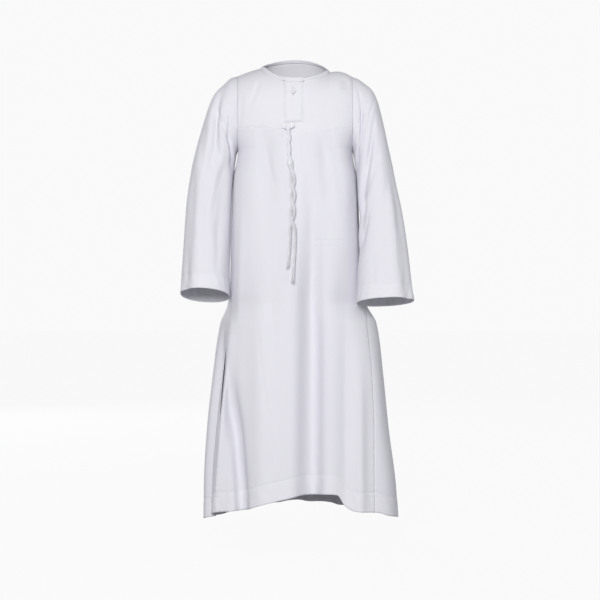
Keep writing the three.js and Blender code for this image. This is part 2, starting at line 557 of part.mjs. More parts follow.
// A gore runs from the front's edge (u = 0) to the back's (u = 1), a seam's gap clear of both.
function gorePoint(side, u, z) {
  const front = edgeTurn("front", side, Math.min(z, UNDERARM_Z - NUDGE));
  const back = edgeTurn("back", side, Math.min(z, UNDERARM_Z - NUDGE)) - (side === "left" ? 2 * Math.PI : 0);
  const ends = [bodyPoint(front, z), bodyPoint(back, z)];
  const speed = (turn, other, end) => bodyPoint(lerp(turn, other, 0.01), z).distanceTo(end) / 0.01;
  const from = lerp(front, back, SEAM_GAP / speed(front, back, ends[0]));
  const to = lerp(back, front, SEAM_GAP / speed(back, front, ends[1]));
  return bodyPoint(turnByLength(from, to, u, z), z);
}
const GORE_TOP_Z = UNDERARM_Z - SEAM_GAP;
for (const side of ["left", "right"]) {
  const seamTurns = ["front", "back"].map((face) => edgeTurn(face, side, FOLD_BOTTOM_Z + HEM_DEPTH));
  if (side === "left") seamTurns[1] -= 2 * Math.PI;
  const below = BODY_ROWS_Z.filter((z) => z < UNDERARM_Z);
  add(
    `gore_${side}`,
    surfaceWall(
      (u, z) => gorePoint(side, u, z),
      steps(0, 1, ACROSS.gore),
      (u) => [...hemRows(lerp(...seamTurns, u)), ...below, GORE_TOP_Z],
      { thickness: hemThickness, sign: side === "left" ? -1 : 1 },
    ),
    WHITE,
  );
}

// The facing lies against the inside of the front and is slit with it. Its lower edge lies
// between two of the front's rows, on the straight line between them.
const rowUnderSlit = BODY_ROWS_Z[BODY_ROWS_Z.indexOf(SLIT_FOOT_Z) - 1] - CHEST_Z;
function facingPoint(u, v) {
  const slitFoot = SLIT_FOOT_Z - CHEST_Z;
  if (v >= slitFoot) return panelPoint("front", u, v);
  const t = (v - rowUnderSlit) / (slitFoot - rowUnderSlit);
  return panelPoint("front", u, rowUnderSlit).lerp(panelPoint("front", u, slitFoot), t);
}
const facingColumns = frontColumns.filter((u) => Math.abs(u) < FACING_SHARE);
const facingSlit = facingColumns.indexOf(slitEdges[0]);
add(
  "chest_facing",
  surfaceWall(
    facingPoint,
    facingColumns,
    (u) => {
      const edge = lerp(FACING_EDGE_Z.middle, FACING_EDGE_Z.side, smooth(Math.abs(u) * 1.6));
      return [edge - CHEST_Z, SLIT_FOOT_Z - CHEST_Z, ...steps(0, 1, CAP_ROWS)];
    },
    {
      thickness: () => FACING_CLOTH,
      lift: -(CLOTH + LAY_GAP),
      keep: (i, j) => i !== facingSlit || j < 1,
    },
  ),
  WHITE_DOUBLE,
);

// ---- sleeves ------------------------------------------------------------------------------------
for (const side of ["left", "right"]) {
  const table = SLEEVES[side].map((ring, i) => ({ ...ring, i }));
  const at = Object.fromEntries(Object.keys(table[0]).map((key) => [key, profile(table, key, "i")]));
  const top = table[0];
  const middleZ = (top.outerZ + top.innerZ) / 2;
  const halfZ = (top.outerZ - top.innerZ) / 2;

  // The armhole as shares of the first ring's halves.
  const armholeShape = (turn) => {
    const [forward, up] = [Math.sin(turn), Math.cos(turn)];
    const reach = forward >= 0 ? ARMHOLE_REACH.front : ARMHOLE_REACH.back;
    const above = up >= 0;
    const z = above ? lerp(CHEST_Z, top.outerZ, up) : CHEST_Z + ARMHOLE_DROP * up;
    const y = (above ? SHOULDER_Y * (1 - Math.abs(forward)) : 0) - reach * forward;
    return [-y / ARMHOLE_REACH.front, (z - middleZ) / halfZ];
  };

  const sleevePoint = (degrees, ring) => {
    const turn = degrees * RAD;
    const plain = oval(turn, SLEEVE_SQUARE);
    const armhole = armholeShape(turn);
    const blend = smooth(ring / ARMHOLE_SHAPE_RINGS);
    const [forward, out] = [0, 1].map((k) => lerp(armhole[k], plain[k], blend));
    const across = (key) => lerp(at[`inner${key}`](ring), at[`outer${key}`](ring), (1 + out) / 2);
    const hang = (at.drop(ring) * (1 - forward)) / 2;
    return V(across("X"), at.y(ring) - at.reach(ring) * forward, across("Z") - hang);
  };

  const sign = side === "left" ? -1 : 1;
  const folded = (degrees, ring) => {
    const depth = SLEEVE_FOLDS[side].reduce((sum, fold) => {
      const amount = strength(ring, fold.start, fold.full, fold.fade, fold.end);
      const place = lerp(fold.top, fold.bottom, clamp((ring - fold.start) / (fold.fade - fold.start)));
      const away = (turnBetween(degrees * RAD, place * RAD) * at.reach(ring)) / fold.half;
      return sum + fold.depth * amount * Math.exp(-away * away);
    }, 0);
    return sleevePoint(degrees, ring).addScaledVector(outward(sleevePoint, degrees, ring, sign), depth);
  };

  const last = table.length - 1;
  const rows = [...steps(0, last - 2, last - 2), ...SLEEVE_STEP_ROWS.map((row) => last - row), last];
  const clear = (p, u, row) => {
    if (row === 0) p.x = side === "left" ? Math.min(p.x, top.outerX) : Math.max(p.x, top.outerX);
    return p;
  };
  add(
    `sleeve_${side}`,
    surfaceWall(folded, steps(0, 360, ACROSS.sleeve).slice(0, -1), () => rows, {
      thickness: (row) => (rows[row] >= last - 1 ? HEM_CLOTH : CLOTH),
      sign,
      fit: clear,
      closed: true,
    }),
    WHITE,
  );
}

// ---- neckband -----------------------------------------------------------------------------------
// One strip round the neck; its end laps over its start in front, a little higher.
const bandTurns = steps(NECKBAND_TURNS.start, NECKBAND_TURNS.end, ACROSS.neckband);
const bandSection = bandTurns.map((degrees) => {
  const turn = degrees * RAD;
  const lap = smooth((degrees - NECKBAND_TURNS.ramp) / (NECKBAND_TURNS.lapped - NECKBAND_TURNS.ramp));
  const out = V(Math.sin(turn) / NECK.half, -Math.cos(turn) / Math.abs(NECK.front), 0).normalize();
  const lean = lerp(NECKBAND.lean, NECKBAND.sideLean, Math.abs(Math.sin(turn)));
  const rise = V(0, 0, 1).addScaledVector(out, -lean).normalize();
  const foot = neckline(turn).addScaledVector(out, lap * NECKBAND.out);
  foot.z += NECKBAND.clear + lap * NECKBAND.lift;
  const layer = (depth) => {
    const low = foot.clone().addScaledVector(out, -depth);
    return [low, low.clone().addScaledVector(rise, NECKBAND.height)];
  };
  return { outer: layer(0), inner: layer(NECKBAND.cloth) };
});
add("neckband", wall(bandSection.map((s) => s.outer), bandSection.map((s) => s.inner)), WHITE_DOUBLE);

// ---- what lies on the front -----------------------------------------------------------------------
// The place on the front panel's surface with a given x and z, and its outward direction.
const ONTO_TRIES = 12;
function onFront(x, z) {
  const surface = (u, v) => panelPoint("front", u, v);
  const scale = z > CHEST_Z ? 1 : CHEST_Z - z + 1;
  let [u, v] = [(x - ARMHOLE_MIDDLE) / ARMHOLE_HALF, z > CHEST_Z ? 0.6 : z - CHEST_Z];
  for (let i = 0; i < ONTO_TRIES; i++) {
    const p = surface(u, v);
    const pu = surface(u + NUDGE, v).sub(p).divideScalar(NUDGE);
    const pv = surface(u, v + NUDGE).sub(p).divideScalar(NUDGE);
    const det = pu.x * pv.z - pv.x * pu.z;
    const [dx, dz] = [x - p.x, z - p.z];
    u += (dx * pv.z - dz * pv.x) / det;
    v += Math.max(-scale, Math.min(scale, (dz * pu.x - dx * pu.z) / det));
    v = z > CHEST_Z ? Math.min(1, Math.max(1e-3, v)) : Math.min(0, v);
  }
  return { p: surface(u, v), n: outward(surface, u, v, 1) };
}

const placketTop = (x) => neckline(Math.asin((x - NECK.x) / NECK.half)).z - LAY_GAP;
const PLACKET_ROWS = 8;
const placketGrid = steps(PLACKET.left, PLACKET.right, ACROSS.placket).map((x) =>
  steps(PLACKET.bottom, placketTop(x), PLACKET_ROWS).map((z) => onFront(x, z)),
);
const raised = (height) =>
  placketGrid.map((column) => column.map(({ p, n }) => p.clone().addScaledVector(n, height)));
add("placket", wall(raised(LAY_GAP + PLACKET.cloth), raised(LAY_GAP)), WHITE_DOUBLE);

// ---- boolean work on closed solids ------------------------------------------------------------------
const wasm = await Module();
wasm.setup();
function toManifold(geometry) {
  return new wasm.Manifold(
    new wasm.Mesh({
      numProp: 3,
      vertProperties: new Float32Array(geometry.attributes.position.array),
      triVerts: new Uint32Array(geometry.index.array),
    }),
  );
}
function fromManifold(manifold) {
  const mesh = manifold.getMesh();
  const geometry = new THREE.BufferGeometry();
  const positions = [];
  for (let i = 0; i < mesh.vertProperties.length; i += mesh.numProp) {
    positions.push(...mesh.vertProperties.subarray(i, i + 3));
  }
  geometry.setAttribute("position", new THREE.Float32BufferAttribute(positions, 3));
  geometry.setIndex([...mesh.triVerts]);
  geometry.computeVertexNormals();
  return geometry;
}

// A closed solid of rings of points, each ring with the same number of corners.
function rings(list) {
  const sides = list[0].length;
  const middle = (ring) => ring.reduce((sum, p) => sum.add(p), V(0, 0, 0)).divideScalar(sides);
  const points = [...list.flat(), middle(list[0]), middle(list[list.length - 1])];
  const [first, last] = [points.length - 2, points.length - 1];
  const faces = [];
  for (let j = 0; j < sides; j++) {
    const k = (j + 1) % sides;
    for (let i = 0; i < list.length - 1; i++) {
      const [a, b, c, d] = [i * sides + j, i * sides + k, (i + 1) * sides + k, (i + 1) * sides + j];
      faces.push([a, b, c], [a, c, d]);
    }
    faces.push([first, k, j], [last, (list.length - 1) * sides + j, (list.length - 1) * sides + k]);
  }
  return solid(points, faces);
}

// A round of corners about a point, in the plane across a direction.
function round(point, direction, radius, sides, phase = 0) {
  const along = direction.clone().normalize();
  const a = V(0, 1, 0).cross(along).normalize();
  const b = along.clone().cross(a);
  return Array.from({ length: sides }, (_, k) => {
    const turn = phase + (k * 2 * Math.PI) / sides;
    const [overA, overB] = [radius * Math.cos(turn), radius * Math.sin(turn)];
    return point.clone().addScaledVector(a, overA).addScaledVector(b, overB);
  });
}

// ---- button ---------------------------------------------------------------------------------------
const BUTTON_SIDES = 28;
const HOLE_SIDES = 8;
const FORWARD = V(0.001, -1, 0); // tilted a hair, so that a direction across it can be found
const buttonProfile = [
  [BUTTON.radius - BUTTON.edge, 0],
  [BUTTON.radius, BUTTON.edge],
  [BUTTON.radius, BUTTON.height - BUTTON.edge],
  [BUTTON.radius - BUTTON.edge, BUTTON.height],
  [BUTTON.well + BUTTON.edge, BUTTON.height],
  [BUTTON.well, BUTTON.floor],
];
const disc = rings(buttonProfile.map(([r, y]) => round(V(0, -y, 0), FORWARD, r, BUTTON_SIDES)));
let button = toManifold(disc);
for (const [sx, sz] of [[1, 1], [1, -1], [-1, 1], [-1, -1]]) {
  const at = (y) => V(sx * BUTTON_HOLES.apart, y, sz * BUTTON_HOLES.apart);
  const ends = [1, -BUTTON.height - 1].map((y) => round(at(y), FORWARD, BUTTON_HOLES.radius, HOLE_SIDES));
  button = button.subtract(toManifold(rings(ends)));
}
const buttonGeometry = fromManifold(button);
const seat = onFront(BUTTON.x, BUTTON.z);
const seatHeight = 2 * LAY_GAP + PLACKET.cloth;
buttonGeometry.applyQuaternion(new THREE.Quaternion().setFromUnitVectors(V(0, -1, 0), seat.n));
buttonGeometry.translate(...seat.p.clone().addScaledVector(seat.n, seatHeight).toArray());
add("button", buttonGeometry, 0xf2f1f2, 0.35);

// ---- tassel ---------------------------------------------------------------------------------------
const frontY = (x, z) => bodyPoint(turnAtX("front", x, z), z).y;
const overFront = (x, z, lift) => V(x, frontY(x, z) - lift, z);

// A pinched lump of thread or cloth: an egg shape with three shallow waves round it.
const LUMP_LEVELS = [-0.97, -0.7, -0.3, 0.15, 0.55, 0.85, 0.98]; // shares of its half height
const LUMP_SIDES = 12;
const LUMP_WAVE = { count: 3, height: 0.09, twist: 4 };
function lump({ x, z, wide, high, deep }, lift) {
  const middle = overFront(x, z, lift);
  return rings(
    LUMP_LEVELS.map((level) => {
      const share = Math.sqrt(1 - level * level);
      return Array.from({ length: LUMP_SIDES }, (_, k) => {
        const turn = (k * 2 * Math.PI) / LUMP_SIDES;
        const wave = Math.cos(LUMP_WAVE.count * turn + LUMP_WAVE.twist * level);
        const pinch = 1 + LUMP_WAVE.height * wave;
        const [dx, dy] = [wide * share * pinch * Math.cos(turn), deep * share * Math.sin(turn)];
        return V(middle.x + dx, middle.y + dy, middle.z + high * level);
      });
    }),
  );
}

// A round strand along a path, from one height down to another. place(z, middle, at) gives its
// middle from the path's middle and the path's other columns at that height.
function strand(path, [top, bottom], radius, sides, count, place) {
  const columns = Object.fromEntries(Object.keys(path[0]).map((key) => [key, profile(path, key)]));
  const at = (z) => place(z, overFront(columns.x(z), z, columns.lift(z)), columns);
  const direction = (z) => at(z - 0.5).sub(at(z + 0.5));
  const levels = steps(top, bottom, count);
  return rings(levels.map((z) => round(at(z), direction(z), radius, sides, Math.PI / 4)));
}
const beside = (middle, spread, degrees) =>
  V(middle.x + spread * Math.cos(degrees * RAD), middle.y + spread * Math.sin(degrees * RAD), middle.z);

let tassel = toManifold(lump(TASSEL_HEAD, LAY_GAP + TASSEL_HEAD.deep));
tassel = tassel.add(toManifold(lump(TASSEL_KNOT, CORD_PATH[3].lift)));
for (const side of [-1, 1]) {
  const ends = [CORD_PATH[0].z, CORD_PATH[3].z];
  const ply = strand(CORD_PATH, ends, PLY.radius, PLY.sides, PLY.steps, (z, middle, at) =>
    beside(middle, side * PLY.spread, at.turn(z)),
  );
  tassel = tassel.add(toManifold(ply));
}
for (const { side, endZ } of TAILS) {
  for (let k = 0; k < STRANDS_PER_TAIL; k++) {
    const own = (k * 360) / STRANDS_PER_TAIL;
    const ends = [TAIL_PATH[0].z - 1, endZ - (k % 3) * STRAND_STAGGER];
    const yarn = strand(TAIL_PATH, ends, STRAND_RADIUS, STRAND_SIDES, STRAND_STEPS, (z, middle, at) => {
      const tail = beside(middle, side * at.spread(z), at.turn(z));
      return beside(tail, STRAND_SPREAD, own - (z * 360) / STRAND_PITCH);
    });
    tassel = tassel.add(toManifold(yarn));
  }
}
add("tassel", fromManifold(tassel), WHITE_DOUBLE, 0.9);

export default garment;
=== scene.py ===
# %% [markdown]
# # A child's white kandura
# This lesson dresses a simple solid model of an ankle-length Gulf robe with real-looking cloth.
# The garment hangs as it does when it is worn, but nobody is in it: it is a hollow shell of thin
# cloth. The solids give every piece its place, and this script gives it folds, seams, stitches
# and a woven finish. The first step loads the solids, and the last prints the box of the dressed
# model. The dressed model must stay as large as they are.

# %% Load the frame
import math
import bmesh
import bpy
import numpy as np
from mathutils import Matrix, Vector
from mathutils.bvhtree import BVHTree


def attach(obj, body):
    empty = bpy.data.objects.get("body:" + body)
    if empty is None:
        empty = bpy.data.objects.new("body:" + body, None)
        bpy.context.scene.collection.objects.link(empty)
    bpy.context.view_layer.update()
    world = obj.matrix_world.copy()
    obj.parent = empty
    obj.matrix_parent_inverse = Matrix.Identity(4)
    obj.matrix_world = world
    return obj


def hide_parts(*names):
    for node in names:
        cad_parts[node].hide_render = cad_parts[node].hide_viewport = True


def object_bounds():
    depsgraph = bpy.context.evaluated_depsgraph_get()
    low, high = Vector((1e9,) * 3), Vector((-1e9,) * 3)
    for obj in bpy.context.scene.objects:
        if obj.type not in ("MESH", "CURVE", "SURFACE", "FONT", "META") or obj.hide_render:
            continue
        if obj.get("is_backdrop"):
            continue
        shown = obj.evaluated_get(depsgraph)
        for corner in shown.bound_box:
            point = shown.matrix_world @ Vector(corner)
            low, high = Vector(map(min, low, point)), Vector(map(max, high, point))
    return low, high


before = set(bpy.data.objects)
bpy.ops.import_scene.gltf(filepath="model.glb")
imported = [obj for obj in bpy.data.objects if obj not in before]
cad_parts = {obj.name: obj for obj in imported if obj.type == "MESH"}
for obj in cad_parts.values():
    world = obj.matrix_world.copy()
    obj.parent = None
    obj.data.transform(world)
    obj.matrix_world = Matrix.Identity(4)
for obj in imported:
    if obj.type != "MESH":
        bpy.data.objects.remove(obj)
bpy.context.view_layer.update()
print("frame nodes:", sorted(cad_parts))

# %% [markdown]
# ## Camera, floor and light
# The robe is seen from the front, level with its middle, through a fairly long lens, so that it
# isn't distorted. The floor is a plain pale plane that glows where the camera sees it, so that it
# stays pale without throwing light up into the skirt. One large lamp in front, a little to the
# left, makes the soft shadows that show folds in white cloth. A weaker one from the far right
# lights the side of the skirt without reaching into the folds, one behind lights the back, and a
# dim sky does the rest.

# %% Camera
MM = 0.001
camera_data = bpy.data.cameras.new("camera")
camera_data.sensor_width = 36
camera_data.lens = 100
camera = bpy.data.objects.new("camera", camera_data)
camera.location = (5.4 * MM, -3.0, -417.6 * MM)
camera.rotation_euler = (math.radians(90), 0, 0)
bpy.context.collection.objects.link(camera)
bpy.context.scene.camera = camera
bpy.context.scene.view_settings.view_transform = "Standard"


# %% Floor
def new_material(name, roughness):
    """A material with its node tree and its main shader."""
    material = bpy.data.materials.new(name)
    material.use_nodes = True
    shader = material.node_tree.nodes["Principled BSDF"]
    shader.inputs["Roughness"].default_value = roughness
    return material, material.node_tree, shader


FLOOR_Z = -845 * MM
floor_mesh = bpy.data.meshes.new("floor")
bm = bmesh.new()
bmesh.ops.create_grid(bm, x_segments=1, y_segments=1, size=20)
bmesh.ops.translate(bm, verts=bm.verts, vec=(0, 0, FLOOR_Z))
bm.to_mesh(floor_mesh)
bm.free()
floor = bpy.data.objects.new("floor", floor_mesh)
bpy.context.collection.objects.link(floor)
floor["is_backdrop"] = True
floor_paint, floor_tree, floor_shader = new_material("pale_floor", 0.9)
floor_shader.inputs["Base Color"].default_value = (0.42, 0.42, 0.43, 1)
glow = floor_tree.nodes.new("ShaderNodeEmission")
glow.inputs["Color"].default_value = (0.985, 0.985, 0.985, 1)
blend = floor_tree.nodes.new("ShaderNodeMixShader")
camera_ray = floor_tree.nodes.new("ShaderNodeLightPath")
share = floor_tree.nodes.new("ShaderNodeMath")
share.operation = "MULTIPLY"
share.inputs[1].default_value = 0.95
floor_tree.links.new(camera_ray.outputs["Is Camera Ray"], share.inputs[0])
floor_tree.links.new(share.outputs[0], blend.inputs["Fac"])
floor_tree.links.new(floor_shader.outputs["BSDF"], blend.inputs[1])
floor_tree.links.new(glow.outputs["Emission"], blend.inputs[2])
floor_tree.links.new(blend.outputs["Shader"], floor_tree.nodes["Material Output"].inputs["Surface"])
floor_mesh.materials.append(floor_paint)


# %% Lights
def lamp(name, place, target, size, power, colour):
    """A square area lamp that looks at a target."""
    data = bpy.data.lights.new(name, "AREA")
    data.size, data.energy, data.color = size, power, colour
    lit = bpy.data.objects.new(name, data)
    lit.location = place
    lit.rotation_euler = (Vector(target) - Vector(place)).to_track_quat("-Z", "Y").to_euler()
    bpy.context.collection.objects.link(lit)
    return lit


lamp("key", (-0.5, -3.3, 0.6), (0, 0, -0.5), 1.1, 97, (1.0, 0.99, 0.98))
lamp("side_fill", (3.0, -0.7, 0.0), (0, 0, -0.5), 1.8, 19, (0.98, 0.985, 1.0))
lamp("back_fill", (-1.4, 3.2, 0.5), (0, 0, -0.5), 1.4, 70, (0.99, 0.99, 1.0))
sky = bpy.data.worlds.new("sky")
bpy.context.scene.world = sky
sky.use_nodes = True
nodes, links = sky.node_tree.nodes, sky.node_tree.links
seen = nodes.new("ShaderNodeLightPath")
backdrop = nodes.new("ShaderNodeMixRGB")
backdrop.inputs["Color1"].default_value = (0.24, 0.24, 0.25, 1)
backdrop.inputs["Color2"].default_value = (0.95, 0.95, 0.95, 1)
links.new(seen.outputs["Is Camera Ray"], backdrop.inputs["Fac"])
links.new(backdrop.outputs["Color"], nodes["Background"].inputs["Color"])

# %% [markdown]
# ## The sizes of the garment
# A pattern cutter works from a table of widths at each height. The same tables shape this model:
# how far the body reaches to each side, the front and the back, where the gores are sewn in,
# how the hem rises and falls, and how each sleeve hangs. Left and right are as seen from the
# front. All of them are in millimetres, measured from the middle of the neck opening.


# %% A table with named columns
def table(columns, *rows):
    """Rows of numbers as one array for each named column."""
    return {name: np.array(values, float) for name, values in zip(columns.split(), zip(*rows))}


BODY = table(
    "z left right front back square",
    (-815, -168, 185, 119, 123, 2.1),
    (-740, -167, 179, 114, 117, 2.1),
    (-650, -162, 167, 108, 109, 2.1),
    (-550, -151, 155, 101, 99, 2.2),
    (-460, -138, 143, 95, 91, 2.2),
    (-425, -124.5, 125, 92.5, 88, 2),
    (-400, -121.5, 121, 91, 85, 2.2),
    (-300, -117, 112, 85, 75, 2.9),
    (-200, -113.5, 106.5, 77, 68, 2.9),
    (-170, -108.4, 101.3, 74, 66, 2.55),
    (-150, -106.2, 99.2, 72, 65, 2.5),
    (-84, -106.2, 99.2, 66, 60, 2.5),
    (-60, -106.2, 99.2, 66, 60, 2.5),
)
GORE_SEAMS = table(
    "z left right",
    (-815, -140.5, 136),
    (-650, -135.5, 134),
    (-460, -123, 124),
    (-400, -117, 119.5),
    (-300, -114.5, 111.5),
    (-200, -111, 104),
    (-150, -106, 99),
)
# fmt: off
HEM_EDGE = table(
    "turn z",
    (-180, -790), (-150, -798), (-122, -812), (-100, -812), (-84, -808), (-66, -797), (-53, -790),
    (-42, -787), (-32, -782), (-23, -774), (-11, -765), (5, -756), (15, -755), (21, -757), (27, -779),
    (32, -786), (50, -791), (60, -798), (90, -806), (125, -806), (155, -797), (180, -790),
)
# fmt: on
HEM_DEPTH = 34
ARMHOLE = {"left": -106.0, "right": 99.0}
ARMHOLE_MIDDLE, ARMHOLE_HALF = -3.5, 102.5
ARMHOLE_REACH = {"front": 46, "back": 44}
CHEST_Z, UNDERARM_Z, GORE_TOP_HALF = -84, -150, 8
SHOULDER_Y, SHOULDER_Z = 4, {"left": -14.5, "right": -16}
SHOULDER_CROWN = {"left": 0.8, "right": 5}
NECK = {"x": -3, "half": 63, "front": -54, "back": 50}
NECK |= {"sideZ": -4.5, "tilt": -3.5, "crownZ": 9, "backZ": 15}
NECK_SHARE, NECK_SPREAD, BACK_LEAN = 4 / 7, 0.28, math.radians(58)
FOLD_BOTTOM_Z = -815

# %% [markdown]
# The big folds run down the skirt, where the spare width of the gores hangs. Each one is a soft
# trough or ridge: a place on the front, the back or round the body, the heights at which it
# starts, is full, fades and ends, half its width, and its depth, which is negative in a trough.
# The two sharpest troughs of the front are shallow here: the front's own creases, further down,
# give them their narrow middle.

# %% The big folds of the body
BODY_FOLDS = {
    "front": table(
        "top bottom start full fade end half depth",
        (26, 17, -180, -560, -900, -950, 19, -4),
        (50, 50, -250, -620, -900, -950, 16, 3),
        (86, 84, -330, -660, -900, -950, 14, -4),
        (108, 110, -450, -640, -900, -950, 12, 6),
        (-116, -96, -540, -640, -900, -950, 11, -6),
        (-112, -143, -420, -600, -900, -950, 10, 8),
        (-66, -58, -300, -640, -900, -950, 20, 7),
        (-56, -30, -96, -150, -200, -310, 13, -6),
        (44, 110, -96, -160, -210, -310, 12, -6),
    ),
    "turn": table(
        "top bottom start full fade end half depth",
        (-66, -74, -420, -600, -900, -950, 12, -18),
        (-106, -110, -160, -190, -300, -400, 15, 4),
        (106, 110, -160, -190, -270, -390, 15, 3),
        (58, 58, -450, -560, -900, -950, 24, 5),
        (88, 88, -500, -700, -900, -950, 13, -4),
    ),
    "back": table(
        "top bottom start full fade end half depth",
        (-78, -92, -260, -640, -900, -950, 15, -22),
        (-34, -38, -170, -600, -900, -950, 16, -18),
        (24, 22, -150, -560, -900, -950, 17, -23),
        (74, 84, -280, -650, -900, -950, 14, -20),
    ),
}

# %% [markdown]
# ## From tables to smooth surfaces
# A table gives a few sizes, and cloth needs one at every height. A curve through the rows that
# never overshoots them does that. The body is then an oval at each height, a little squarer at
# the chest than at the hem, with the folds pushed in and out of it.


# %% Helpers
def smooth(t):
    t = np.clip(t, 0, 1)
    return t * t * (3 - 2 * t)


def lerp(a, b, t):
    return a + (b - a) * t


def signed(v, power):
    return np.sign(v) * np.abs(v) ** power


def curve(rows, column, along="z"):
    """A column of a table as a smooth function of another column, without overshoot."""
    x, y = rows[along], rows[column]
    slope = np.diff(y) / np.diff(x)
    before, after = slope[:-1], slope[1:]
    total = np.where(before + after == 0, 1, before + after)
    middle = np.where(before * after <= 0, 0, 2 * before * after / total)
    tangent = np.concatenate([slope[:1], middle, slope[-1:]])

    def at(v):
        v = np.clip(v, x[0], x[-1])
        i = np.clip(np.searchsorted(x, v, side="right") - 1, 0, len(x) - 2)
        h = x[i + 1] - x[i]
        t = (v - x[i]) / h
        bend = h * t * (1 - t) * (tangent[i] * (1 - t) - tangent[i + 1] * t)
        return lerp(y[i], y[i + 1], t * t * (3 - 2 * t)) + bend

    return at


body_at = {name: curve(BODY, name) for name in ("left", "right", "front", "back", "square")}
gore_seam = {side: curve(GORE_SEAMS, side) for side in ("left", "right")}
hem_edge = curve(HEM_EDGE, "z", "turn")


# %% The plain oval of the body
def section(front, z):
    """Middle, half width, depth and squareness of the body's oval. front is true on the front half."""
    square = body_at["square"](z)
    depth = np.where(front, body_at["front"](z), body_at["back"](z))
    left, right = body_at["left"](z), body_at["right"](z)
    t = np.clip((CHEST_Z - z) / (CHEST_Z - UNDERARM_Z), 0, 1)
    reach = np.where(front, ARMHOLE_REACH["front"], ARMHOLE_REACH["back"]) * np.sqrt(1 - t * t)
    share = (1 - (np.maximum(GORE_TOP_HALF, reach) / depth) ** square) ** (1 / square)
    low = z < UNDERARM_Z
    middle = np.where(low, (left + right) / 2, ARMHOLE_MIDDLE)
    return middle, np.where(low, (right - left) / 2, ARMHOLE_HALF / share), depth, square


def oval_point(turn, z):
    """Points of the plain oval and the directions out of it. Turn 0 is the middle of the front."""
    middle, half, depth, square = section(np.cos(turn) >= 0, z)
    s, c = np.sin(turn), np.cos(turn)
    scale = (np.abs(s) ** square + np.abs(c) ** square) ** (-1 / square)
    across, forward = s * scale, c * scale
    out = np.stack([signed(across, square - 1) / half, -signed(forward, square - 1) / depth], -1)
    out /= np.linalg.norm(out, axis=-1, keepdims=True)
    return np.stack([middle + half * across, -depth * forward, z + 0 * turn], -1), out


def turn_at_x(face, x, z):
    middle, half, _, square = section(face == "front", z)
    share = np.clip((x - middle) / half, -0.9999, 0.9999)
    depth = (1 - np.abs(share) ** square) ** (1 / square)
    turn = np.arctan2(share, depth if face == "front" else -depth)
    return np.where((face == "back") & (turn < 0), turn + 2 * np.pi, turn)


# %% The folded body
def fold_strength(at, start, full, fade, end):
    return smooth((at - start) / (full - start)) * (1 - smooth((at - fade) / (end - fade)))


def body_point(turn, z):
    """Points of the folded body below the chest."""
    point, out = oval_point(turn, z)
    middle, half, depth, _ = section(np.cos(turn) >= 0, z)
    radius = np.hypot(half * np.cos(turn), depth * np.sin(turn))
    push = np.zeros_like(radius)
    for face, folds in BODY_FOLDS.items():
        for top, bottom, start, full, fade, end, wide, deep in zip(*folds.values()):
            amount = fold_strength(-z, -start, -full, -fade, -end)
            place = lerp(top, bottom, np.clip((start - z) / (start - FOLD_BOTTOM_Z), 0, 1))
            at = np.radians(place) if face == "turn" else turn_at_x(face, place, z)
            away = np.arctan2(np.sin(turn - at), np.cos(turn - at)) * radius / wide
            push += deep * amount * np.exp(-away * away)
    calm = np.where(z > UNDERARM_Z, 1 - (np.abs(point[..., 0] - middle) / ARMHOLE_HALF) ** 4, 1)
    point[..., :2] += out * (push * np.maximum(0, calm))[..., None]
    return point


def turn_by_length(start, end, share, z):
    """The turn a share of the way, by length of cloth, between two turns at one height."""
    shares = np.linspace(0, 1, 21).reshape((-1,) + (1,) * np.ndim(z))
    turns = lerp(start, end, shares)
    points = oval_point(turns, z + 0 * turns)[0]
    pieces = np.linalg.norm(np.diff(points, axis=0), axis=-1)
    reached = np.concatenate([0 * pieces[:1], np.cumsum(pieces, 0)])
    goal = share * reached[-1]
    i = (reached[1:-1] < goal).sum(0)
    low, high = (np.take_along_axis(reached, (i + k)[None], 0)[0] for k in (0, 1))
    first, last = (np.take_along_axis(turns, (i + k)[None], 0)[0] for k in (0, 1))
    return lerp(first, last, (goal - low) / (high - low))


# %% [markdown]
# ## The front and the back
# Each is one length of cloth from the hem to the shoulder. Its threads run up the body and then
# curve over the shoulder, in a quarter of an oval, to the shoulder seam or the neckline. The
# grid of the model follows them in the same way, so its lines run as the threads do.


# %% Panels
def edge_turn(face, side, z):
    return turn_at_x(face, np.where(z < UNDERARM_Z, gore_seam[side](z), ARMHOLE[side]), z)


def panel_turn(face, u, z):
    return turn_by_length(edge_turn(face, "left", z), edge_turn(face, "right", z), (u + 1) / 2, z)


def neck_turn(share):
    return (np.pi / 2) * ((1 - NECK_SPREAD) * share + NECK_SPREAD * signed(share, 4))


